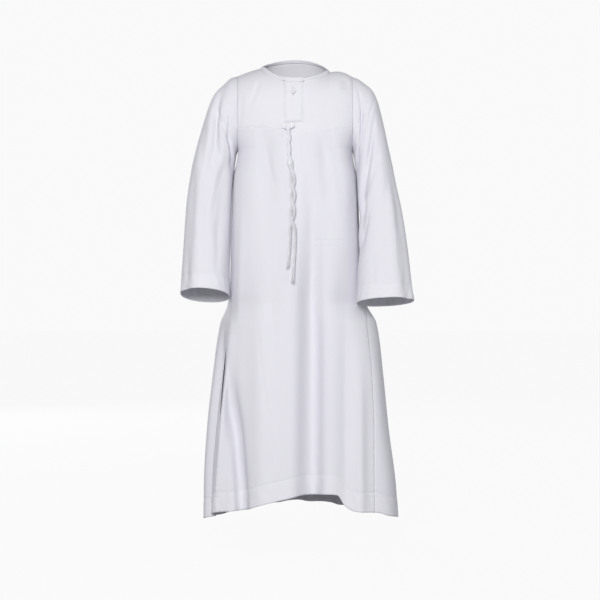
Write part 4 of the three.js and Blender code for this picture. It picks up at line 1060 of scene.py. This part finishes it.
# %% Make the facing
FACING_LIFT, FACING_TOP = -1.7, 0.97
facing_u = columns[np.abs(columns) < FACING_U - 0.01]
facing_v = np.linspace(0, 1, 40)
facing_low = facing_edge(facing_u) - CHEST_Z
facing_rows = np.stack(
    [np.concatenate([np.linspace(low, 0, 24), FACING_TOP * facing_v[1:]]) for low in facing_low]
)
facing_grid = np.repeat(facing_u[:, None], facing_rows.shape[1], 1)
facing_plain = panel_point("front", facing_grid, facing_rows)
facing_points = facing_plain + sheet_normals(facing_plain) * FACING_LIFT
facing_slit = int(np.abs(facing_u - (SLIT_U - SLIT_HALF)).argmin())
facing = cloth(
    "chest_facing_cloth",
    facing_points,
    1,
    robe_cloth,
    missing=lambda i, j: i == facing_slit and facing_points[i, j, 2] > SLIT_FOOT_Z,
)

# %% [markdown]
# ## The neckband
# The neckband is a narrow strip cut on the bias, folded along its length and sewn round the neck,
# with the raw edge of the neck between its two layers. Its end laps over its start in front. The
# model is that strip: its grid runs up the outside, over the fold and down the inside.


# %% The neckline
def neckline(turn):
    """The upper edge of the panels, by the turn round the neck, and the way down the cloth."""
    shares = np.linspace(-1, 1, 801)
    from_middle = np.arctan2(np.sin(turn), np.abs(np.cos(turn)))
    u = NECK_SHARE * np.interp(from_middle, neck_turn(shares), shares)
    forward = (np.cos(turn) >= 0)[:, None]
    edge, below = (
        np.where(forward, panel_point("front", u, v), panel_point("back", u, v)) for v in (1.0, 0.985)
    )
    down = below - edge
    return edge, down / np.linalg.norm(down, axis=-1, keepdims=True)


def unit(v):
    return v / np.maximum(np.linalg.norm(v, axis=-1, keepdims=True), 1e-9)


# %% Make the neckband
BAND = {"height": 6.0, "thick": 1.6, "lean": 0.3, "side_lean": 0.9}
BAND |= {"clear": 0.6, "lift": 1.6, "out": 2.4, "tuck": 1.6}
BAND_TURNS = {"start": -11.0, "ramp": 332.0, "lapped": 347.0, "end": 372.4, "first_tuck": 13.5}
ends = np.array([0, 0.15, 0.35, 0.6, 0.9, 1.3])
band_degrees = np.concatenate(
    [
        BAND_TURNS["start"] + ends,
        np.linspace(BAND_TURNS["start"] + 2, BAND_TURNS["end"] - 2, 300),
        (BAND_TURNS["end"] - ends)[::-1],
    ]
)
band_turn = np.radians(band_degrees)
lap = smooth((band_degrees - BAND_TURNS["ramp"]) / (BAND_TURNS["lapped"] - BAND_TURNS["ramp"]))[:, None]
out = [np.sin(band_turn) / NECK["half"], -np.cos(band_turn) / abs(NECK["front"]), 0 * band_turn]
out = unit(np.stack(out, -1))
lean = lerp(BAND["lean"], BAND["side_lean"], np.abs(np.sin(band_turn)))[:, None]
up = np.array([[0.0, 0.0, 1.0]])
rise, face_out = unit(up - lean * out), unit(out + lean * up)
edge, down = neckline(band_turn)
surface_out = unit(np.cross(np.cross(down, out), down))
surface_out *= np.sign((surface_out * (out + up)).sum(-1, keepdims=True))
foot = edge + out * BAND["out"] * lap + up * (BAND["clear"] + BAND["lift"] * lap)
from_end = np.minimum(band_degrees - BAND_TURNS["start"], BAND_TURNS["end"] - band_degrees)[:, None]
thick = BAND["thick"] * np.sqrt(np.clip(from_end / 0.9, 0.03, 1))
tucked = smooth((band_degrees - BAND_TURNS["first_tuck"]) / 1.5)[:, None]
tuck = edge + down * BAND["tuck"] + surface_out * (0.4 + 2.1 * lap)
ripple = 0.10 * np.sin(band_degrees * 1.9 + 2 * np.sin(band_degrees / 23))[:, None]
straight = BAND["height"] - BAND["thick"] / 2
rows = [lerp(foot, tuck, tucked), lerp(foot, tuck, 0.5 * tucked) + face_out * 0.12]
for t in np.linspace(0, 1, 9):
    rows.append(foot + rise * straight * t + face_out * (ripple * t - 0.2 * groove(t - 0.2, 1 / 9)))
crown = foot + rise * straight - face_out * thick / 2
for a in np.linspace(0.4, 2.75, 6):
    rows.append(crown + (face_out * np.cos(a) * thick + rise * np.sin(a) * BAND["thick"]) / 2)
for t in np.linspace(1, 0, 7):
    rows.append(foot + rise * straight * t - face_out * (thick - ripple * t))
band_points = np.stack(rows, 1)
neckband = cloth("neckband_cloth", band_points, 1, band_cloth)

# %% [markdown]
# ## Finding a place on the front
# The placket, the button and the stitches lie on the front, so each needs the point of the
# front's surface at a given x and height. A ray shot at the sheet from in front finds it, as a
# pin pushed straight in would.


# %% Places on the front
def grid_tree(points):
    """A search tree of the cells of a grid of points."""
    across, along = points.shape[:2]
    corner = (np.arange(across - 1)[:, None] * along + np.arange(along - 1)).ravel()
    cells = np.stack([corner, corner + along, corner + along + 1, corner + 1], -1)
    return BVHTree.FromPolygons(points.reshape(-1, 3).tolist(), cells.tolist())


front_tree = grid_tree(front_points)


def touch(x, z):
    spot = front_tree.ray_cast(Vector((x, -300, z)), Vector((0, 1, 0)))[0]
    return None if spot is None else np.array(spot)


def on_front(x, z, near=1.5):
    """The point of the front at x and z, and the direction out of it there."""
    spot = touch(x, z)
    around = [touch(x + dx, z + dz) for dx, dz in ((near, 0), (-near, 0), (0, near), (0, -near))]
    right, left, above, below = [spot if p is None else p for p in around]
    return spot, unit(np.cross(right - left, above - below))


# %% [markdown]
# ## The placket
# The placket is a folded strip, sewn over the front's slit and boxed at its foot. Its left edge is
# a crisp fold. Its right edge and its foot are pressed down flatter, so they slope to the front,
# and the thread pulls a faint groove beside each edge.

# %% Make the placket
PLACKET = {"left": -21.5, "right": 10.6, "foot": -104.0, "lift": 1.75, "edge": 0.75, "sewn": 1.9}
placket_wide = PLACKET["right"] - PLACKET["left"]
from_edge = np.array([0, 0.25, 0.6, 1.1, 1.6, 2.2, 3.0, 4.5])
placket_x = PLACKET["left"] + np.concatenate(
    [from_edge, np.linspace(6.2, placket_wide - 6.2, 12), (placket_wide - from_edge)[::-1]]
)
neck_x = np.linspace(-40, 40, 161)
neck_z = neckline(np.arcsin((neck_x - NECK["x"]) / NECK["half"]))[0][:, 2]
placket_rows = []
for x in placket_x:
    top = np.interp(x, neck_x, neck_z) - 0.5
    from_foot = np.concatenate([from_edge, np.linspace(6, top - PLACKET["foot"], 56)])
    column = []
    for above_foot in from_foot:
        spot, normal = on_front(x, PLACKET["foot"] + above_foot)
        pressed = min(PLACKET["right"] - x, above_foot)
        inside = min(x - PLACKET["left"], pressed)
        edge_drop = max(math.exp(-(x - PLACKET["left"]) / 0.7), math.exp(-pressed / 2.2))
        round_down = (PLACKET["lift"] - PLACKET["edge"]) * edge_drop
        groove = 0.2 * math.exp(-(((inside - PLACKET["sewn"]) / 0.8) ** 2))
        pull = 0.08 * math.sin((PLACKET["foot"] + above_foot) / 1.6) * math.exp(-inside / 2.5)
        column.append(spot + normal * (PLACKET["lift"] - round_down - groove + pull))
    placket_rows.append(column)
placket_points = np.array(placket_rows)
placket = cloth("placket_cloth", placket_points, 1, band_cloth)

# %% [markdown]
# ## Stitches
# A seam shows as a row of short stitches that sink a little into the cloth. Each stitch is a
# small flattened bead, laid along its line. One bead has only two dozen faces, because there are
# hundreds of them in a long row.


# %% Sewing helpers
STITCH = {"pitch": 3.3, "long": 2.5, "wide": 0.55, "high": 0.4}


def line_where(points, normals, marks, value):
    """The line on a sheet along which a mark has a value: its points and the directions out."""
    line, out = [], []
    for p, n, m in zip(points, normals, marks):
        crossed = np.flatnonzero((m[:-1] - value) * (m[1:] - value) < 0)
        if len(crossed):
            j = crossed[0]
            t = (value - m[j]) / (m[j + 1] - m[j])
            line.append(lerp(p[j], p[j + 1], t))
            out.append(lerp(n[j], n[j + 1], t))
    return np.array(line), np.array(out)


def sew(bm, line, out, size=1.0):
    """A row of stitches along a line, in a bmesh."""
    reached = np.concatenate([[0], np.cumsum(np.linalg.norm(np.diff(line, axis=0), axis=1))])

    def along(rows, at):
        return np.array([np.interp(at, reached, rows[:, k]) for k in range(3)])

    count = int(reached[-1] / (STITCH["pitch"] * size))
    for at in (np.arange(count) + 0.5) * reached[-1] / count:
        normal = unit(along(out, at))
        ahead = unit(along(line, at + 0.8) - along(line, at - 0.8))
        side = unit(np.cross(normal, ahead))
        place = Matrix.Translation(Vector(along(line, at) * MM))
        turn = Matrix(np.stack([ahead, side, np.cross(ahead, side)], 1).tolist()).to_4x4()
        scale = Matrix.Diagonal((STITCH["long"] * size / 2, STITCH["wide"] / 2, STITCH["high"] / 2, 1))
        bead = place @ turn @ scale
        bmesh.ops.create_uvsphere(bm, u_segments=6, v_segments=4, radius=MM, matrix=bead)


def stitches(name, *lines, size=1.0):
    """A piece with rows of stitches along several lines."""
    bm = bmesh.new()
    for line, out in lines:
        sew(bm, line, out, size)
    piece = finish_piece(name, bm)
    piece.data.materials.append(sewing_thread)
    print(name, len(piece.data.polygons), "faces")
    return piece


# %% [markdown]
# The sewing thread and the tassel's thread are smooth cotton: a little brighter than the cloth
# across the fibres, with a soft shine and fine streaks along them.


# %% Thread materials
def thread_material(name, light, dark, fineness, roughness):
    """Cotton thread: fine streaks down the thread, in the shade and in the bump."""
    material, tree, shader = new_material(name, roughness)
    shader.inputs["Specular IOR Level"].default_value = 0.3
    shader.inputs["Sheen Weight"].default_value = 0.2
    place = tree.nodes.new("ShaderNodeTexCoord").outputs["Object"]
    long_way = stretched(tree, place, (fineness, fineness, fineness / 40))
    fibres = noise(tree, long_way, 1.0, 2.0)
    tree.links.new(mix_colour(tree, fibres, (*dark, 1), (*light, 1)), shader.inputs["Base Color"])
    add_bump(tree, shader, fibres, 0.3, 0.0002)
    return material


sewing_thread = thread_material("sewing_thread", (0.74, 0.74, 0.785), (0.63, 0.63, 0.675), 4000, 0.6)
tassel_thread = thread_material("tassel_yarn", (0.80, 0.80, 0.835), (0.68, 0.68, 0.72), 1500, 0.65)
print("materials:", [m.name for m in bpy.data.materials])

# %% Sew the hems and the facing
HEM_SEWN, CUFF_SEWN, FACING_SEWN, RAISED = HEM_DEPTH - 1.5, 24.5, 1.6, 0.08


def raised(line_and_out):
    line, out = line_and_out
    return line + out * RAISED, out


doubled = np.abs(columns) < FACING_U
above_edge = front_points[..., 2] - facing_edge(front_u)
chest_line = line_where(front_points[doubled], front_normals[doubled], above_edge[doubled], FACING_SEWN)
sewn = {
    front: stitches(
        "front_stitches",
        raised(line_where(front_points, front_normals, front_above, HEM_SEWN)),
        raised(chest_line),
    ),
    back: stitches("back_stitches", raised(line_where(back_points, back_normals, back_above, HEM_SEWN))),
}
for side in ("left", "right"):
    for kind, sheets, height in (("gore", gores, HEM_SEWN), ("sleeve", sleeves, CUFF_SEWN)):
        sheet = sheets[side]
        line = raised(line_where(sheet["points"], sheet["normals"], sheet["above"], height))
        sewn[sheet["piece"]] = stitches(f"{kind}_{side}_stitches", line)

# %% Sew the neckband and the placket
band_line = foot + rise * 1.1 + face_out * RAISED
sewn[neckband] = stitches("neckband_stitches", (band_line[4:-4], face_out[4:-4]), size=0.8)


def placket_line(x0, z0, x1, z1, count):
    spots = [on_front(x, z) for x, z in zip(np.linspace(x0, x1, count), np.linspace(z0, z1, count))]
    out = np.array([normal for _, normal in spots])
    return np.array([spot for spot, _ in spots]) + out * (PLACKET["lift"] - 0.12), out


left, right = PLACKET["left"] + PLACKET["sewn"], PLACKET["right"] - PLACKET["sewn"]
low, box = PLACKET["foot"] + PLACKET["sewn"], PLACKET["foot"] + 13
sewn[placket] = stitches(
    "placket_stitches",
    placket_line(left, low, left, np.interp(left, neck_x, neck_z) - 2, 60),
    placket_line(right, low, right, np.interp(right, neck_x, neck_z) - 2, 60),
    placket_line(left, low, right, low, 20),
    placket_line(left, box, right, box, 20),
    size=0.85,
)

# %% [markdown]
# ## The button
# A small four-hole button holds the placket. Its solid already has the right shape, so it keeps
# it and gets a finish of pale pearl. Two bars of double thread run through its holes, and a
# worked buttonhole peeps out above and below it.

# %% Finish the button
BUTTON = {"x": -7.0, "z": -50.0, "seat": 2.4, "floor": 1.3, "holes": 1.15}
pearl, tree, shader = new_material("button_pearl", 0.28)
shader.inputs["Coat Weight"].default_value = 0.1
clouds = noise(tree, tree.nodes.new("ShaderNodeTexCoord").outputs["Object"], 420, 2)
shade = mix_colour(tree, clouds, (0.69, 0.685, 0.715, 1), (0.78, 0.775, 0.80, 1))
tree.links.new(shade, shader.inputs["Base Color"])
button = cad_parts["button"]
button = bpy.data.objects[button] if isinstance(button, str) else button
for slot in button.material_slots:
    slot.material = pearl


# %% Thread through the button
def yarns(name, paths, radius, sides=0, taper=None):
    """A piece of thin round yarns, each along its own path, with closed ends."""
    data = bpy.data.curves.new(name, "CURVE")
    data.dimensions = "3D"
    data.bevel_depth, data.bevel_resolution, data.use_fill_caps = radius * MM, sides, True
    for path in paths:
        spline = data.splines.new("POLY")
        spline.points.add(len(path) - 1)
        spline.points.foreach_set("co", np.column_stack([path * MM, np.ones(len(path))]).ravel())
        if taper is not None:
            spline.points.foreach_set("radius", taper(np.linspace(0, 1, len(path))))
    source = bpy.data.objects.new(name, data)
    bpy.context.collection.objects.link(source)
    mesh = bpy.data.meshes.new_from_object(source.evaluated_get(bpy.context.evaluated_depsgraph_get()))
    bpy.data.objects.remove(source)
    mesh.name = name
    for face in mesh.polygons:
        face.use_smooth = True
    return add_piece(name, mesh)


seat, seat_out = on_front(BUTTON["x"], BUTTON["z"])
seat_side = unit(np.cross(np.array([0.0, 0.0, 1.0]), seat_out))
seat_up = unit(np.cross(seat_out, seat_side))
THREAD_STEPS = [(-1, -0.9), (-1, 0.05), (-0.55, 0.32), (0.55, 0.32), (1, 0.05), (1, -0.9)]
bars = []
for level in (-1, 1):
    for shift in (-0.22, 0.22):
        bar = []
        for x, y in THREAD_STEPS:
            spot = seat + seat_side * BUTTON["holes"] * x + seat_up * (BUTTON["holes"] * level + shift)
            bar.append(spot + seat_out * (BUTTON["seat"] + BUTTON["floor"] + y))
        bars.append(np.array(bar))
button_bars = yarns("button_thread", bars, 0.24, sides=1)
button_bars.data.materials.append(sewing_thread)
hole_lines = []
for x in (-0.9, 0.9):
    for z in np.concatenate([np.arange(-7.4, -5.2, 0.42), np.arange(5.4, 7.6, 0.42)]):
        spot, normal = on_front(BUTTON["x"] + x, BUTTON["z"] + z)
        middle = spot + normal * (PLACKET["lift"] + 0.1)
        reach = seat_side * 0.8
        hole_lines.append(np.array([middle - reach, middle + normal * 0.12, middle + reach]))
buttonhole = yarns("buttonhole_thread", hole_lines, 0.2, sides=1)
buttonhole.data.materials.append(sewing_thread)
print("button threads:", len(button_bars.data.polygons), "faces")

# %% [markdown]
# ## The tassel
# The tassel starts in a pinched head at the foot of the placket. A cord of two plies runs down to
# a knot, and below it two tails of loose strands wind round each other. The paths are those of
# the plain solid. Each ply is a core wrapped in yarns, and each tail is a bundle of fine strands
# that turns slowly, as cut yarn does.

# %% Paths of the tassel
HEAD = {"x": -16, "z": -111.5, "wide": 10.5, "high": 6.5, "deep": 3.6}
KNOT = {"x": -12.5, "z": -176, "wide": 4.4, "high": 5, "deep": 3.6}
CORD_PATH = table(
    "z x turn lift",
    (-176, -12.5, 540, 6.2),
    (-150, -14.7, 330, 6.2),
    (-124, -14.9, 100, 6.4),
    (-108, -16.5, 0, 6.2),
)
TAIL_PATH = table(
    "z x spread turn lift",
    (-388, -12.2, 4.6, 720, 3.6),
    (-356, -10.9, 4.9, 720, 3.6),
    (-326, -8.7, 4.4, 720, 3.8),
    (-300, -8.2, 4.1, 720, 5.2),
    (-274, -8.6, 3.4, 590, 6.5),
    (-247, -7.6, 3.1, 430, 6.5),
    (-222, -7.4, 3.1, 270, 6.5),
    (-200, -8.6, 3.1, 140, 6.5),
    (-172, -12.4, 2.9, 0, 6.2),
)
TAILS = ((-1, -361), (1, -386))


def path_middle(rows, z):
    """Points of a path at heights z, held off the front by the path's lift."""
    x = curve(rows, "x")(z)
    points = body_point(turn_at_x("front", x, z), z)
    points[..., 0] = x
    points[..., 1] -= curve(rows, "lift")(z)
    return points


def beside(middle, spread, degrees):
    turn = np.radians(degrees)
    return middle + np.stack([spread * np.cos(turn), spread * np.sin(turn), 0 * turn], -1)


# %% Cord and tails
PLY_SPREAD, PLY_YARNS, YARN_SPREAD, YARN_TWIST = 1.9, 9, 1.55, 26
rng = np.random.default_rng(7)
cord_z = np.linspace(CORD_PATH["z"][-1], CORD_PATH["z"][0], 90)
cord_middle = path_middle(CORD_PATH, cord_z)
cord_turn = curve(CORD_PATH, "turn")(cord_z)
cord_yarns = []
for side in (-1, 1):
    ply = beside(cord_middle, side * PLY_SPREAD, cord_turn)
    for k in range(PLY_YARNS):
        wound = k * 360 / PLY_YARNS - (cord_z - CORD_PATH["z"][-1]) * YARN_TWIST
        cord_yarns.append(beside(ply, YARN_SPREAD, wound))
    cord_yarns.append(ply)
tail_threads = []
RINGS = ((0.0, 1), (0.85, 7), (1.6, 13), (2.25, 19))
TAIL_TOP = TAIL_PATH["z"][-1]
tail_spread, tail_turn = curve(TAIL_PATH, "spread"), curve(TAIL_PATH, "turn")
for side, end in TAILS:
    for ring, count in RINGS:
        for k in range(count):
            z = np.linspace(TAIL_TOP - 1, end - rng.uniform(-2.5, 3.5), 60)
            middle = beside(path_middle(TAIL_PATH, z), side * tail_spread(z), tail_turn(z))
            along = (TAIL_TOP - z) / (TAIL_TOP - end)
            own = rng.uniform(0, 6.28, 2)
            frayed = 0.9 * smooth((along - 0.93) / 0.08) * np.sin(own[1])
            stray = 0.16 * np.sin(z / 9 + own[0]) + frayed
            wound = k * 360 / count - z * 3 + 12 * np.sin(z / 31)
            tail_threads.append(beside(middle, ring + stray * (ring > 0), wound))
cord = yarns("tassel_cord", cord_yarns, 0.72, sides=1)
tails = yarns("tassel_tails", tail_threads, 0.37, taper=lambda t: np.where(t > 0.97, 0.6, 1.0))
print("cord:", len(cord.data.polygons), "faces, tails:", len(tails.data.polygons), "faces")


# %% Head and knot
def lump_middle(size, lift):
    """The middle of the head or the knot, held off the front by its lift."""
    rows = table("z x lift", *((size["z"] + step, size["x"], lift) for step in (-1, 1)))
    return path_middle(rows, np.array([size["z"]]))[0]


def pinched_lump(name, size, lift, folds, deep, twist, seed):
    """A small egg of cloth or thread, pinched into folds that run from top to bottom."""
    wobble = np.random.default_rng(seed).uniform(0, 6.28, 3)
    middle = lump_middle(size, lift)
    bm = bmesh.new()
    bmesh.ops.create_uvsphere(bm, u_segments=72, v_segments=36, radius=1)
    for v in bm.verts:
        turn, level = math.atan2(v.co.y, v.co.x), v.co.z
        fold = math.sin(folds * turn + twist * level + 0.8 * math.sin(turn + wobble[0]) + wobble[1])
        reach = 1 + deep * fold * (1 - level**4) + 0.06 * math.sin(2 * turn + wobble[2])
        wide, thick = size["wide"] * v.co.x * reach, size["deep"] * v.co.y * reach
        v.co = (middle + np.array([wide, thick, size["high"] * level])) * MM
    return finish_piece(name, bm)


def wraps(name, size, lift, turns_count, tilt, radius):
    """A few turns of yarn wound round a lump."""
    turn = np.linspace(0, turns_count * 2 * np.pi, int(turns_count * 36))
    level = np.linspace(0.72, -0.72, len(turn))
    share = np.sqrt(1 - level**2 * 0.6) * 0.9
    wide, thick = size["wide"] * share * np.cos(turn), size["deep"] * share * np.sin(turn)
    path = np.stack([wide, thick, size["high"] * level + tilt * np.cos(turn)], -1)
    return yarns(name, [lump_middle(size, lift) + path], radius, sides=3)


KNOT_LIFT = 6.2
head = pinched_lump("tassel_head", HEAD, 0.5 + HEAD["deep"], 9, 0.2, 1.2, 3)
knot = pinched_lump("tassel_knot", KNOT, KNOT_LIFT, 5, 0.05, 2.0, 4)
knot_wraps = wraps("tassel_wraps", {**KNOT, "wide": 4.8, "deep": 4.0}, KNOT_LIFT, 4, 1.1, 1.15)
TASSEL_PIECES = (head, knot, knot_wraps, cord, tails)
for piece in TASSEL_PIECES:
    piece.data.materials.append(tassel_thread)
print("tassel:", sum(len(p.data.polygons) for p in TASSEL_PIECES), "faces")

# %% [markdown]
# ## In place of the solids
# Each piece takes the place of its plain solid. A panel's flat size is a little more than its
# hanging width, because the folds take up cloth.

# %% Replace the plain solids
SHEETS = [
    # piece, solid, slot, points, held, carried by
    (front, "front_panel", "cloth", front_points, "hung", (back,)),
    (back, "back_panel", "cloth", back_points, "hung", (front,)),
]
for kind, made in (("gore", gores), ("sleeve", sleeves)):
    for side, sheet in made.items():
        SHEETS.append((sheet["piece"], f"{kind}_{side}", "cloth", sheet["points"], "hung", (front, back)))
SHEETS += [
    (facing, "chest_facing", "cloth_double", facing_points, "laid", (front,)),
    (neckband, "neckband", "cloth_double", band_points, "folded", (front, back)),
    (placket, "placket", "cloth_double", placket_points, "folded", (front,)),
]
for piece, name, slot, *_ in SHEETS:
    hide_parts(name)
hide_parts("tassel")

# %% [markdown]
# The area of a sheet is measured on the sheet itself, along its threads, and printed as it is
# made. A sleeve is a tube, so its width is the way all round it. A turned-up hem's second layer
# doesn't show, so it isn't in that area. The loop below only gathers the names of the pieces
# that carry each sheet.


for piece, _, _, points, held, carried_by in SHEETS:
    carried_by = [other.name for other in carried_by]

# %% Finish
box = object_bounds()
print("visual box:", [[round(v, 3) for v in corner] for corner in box])
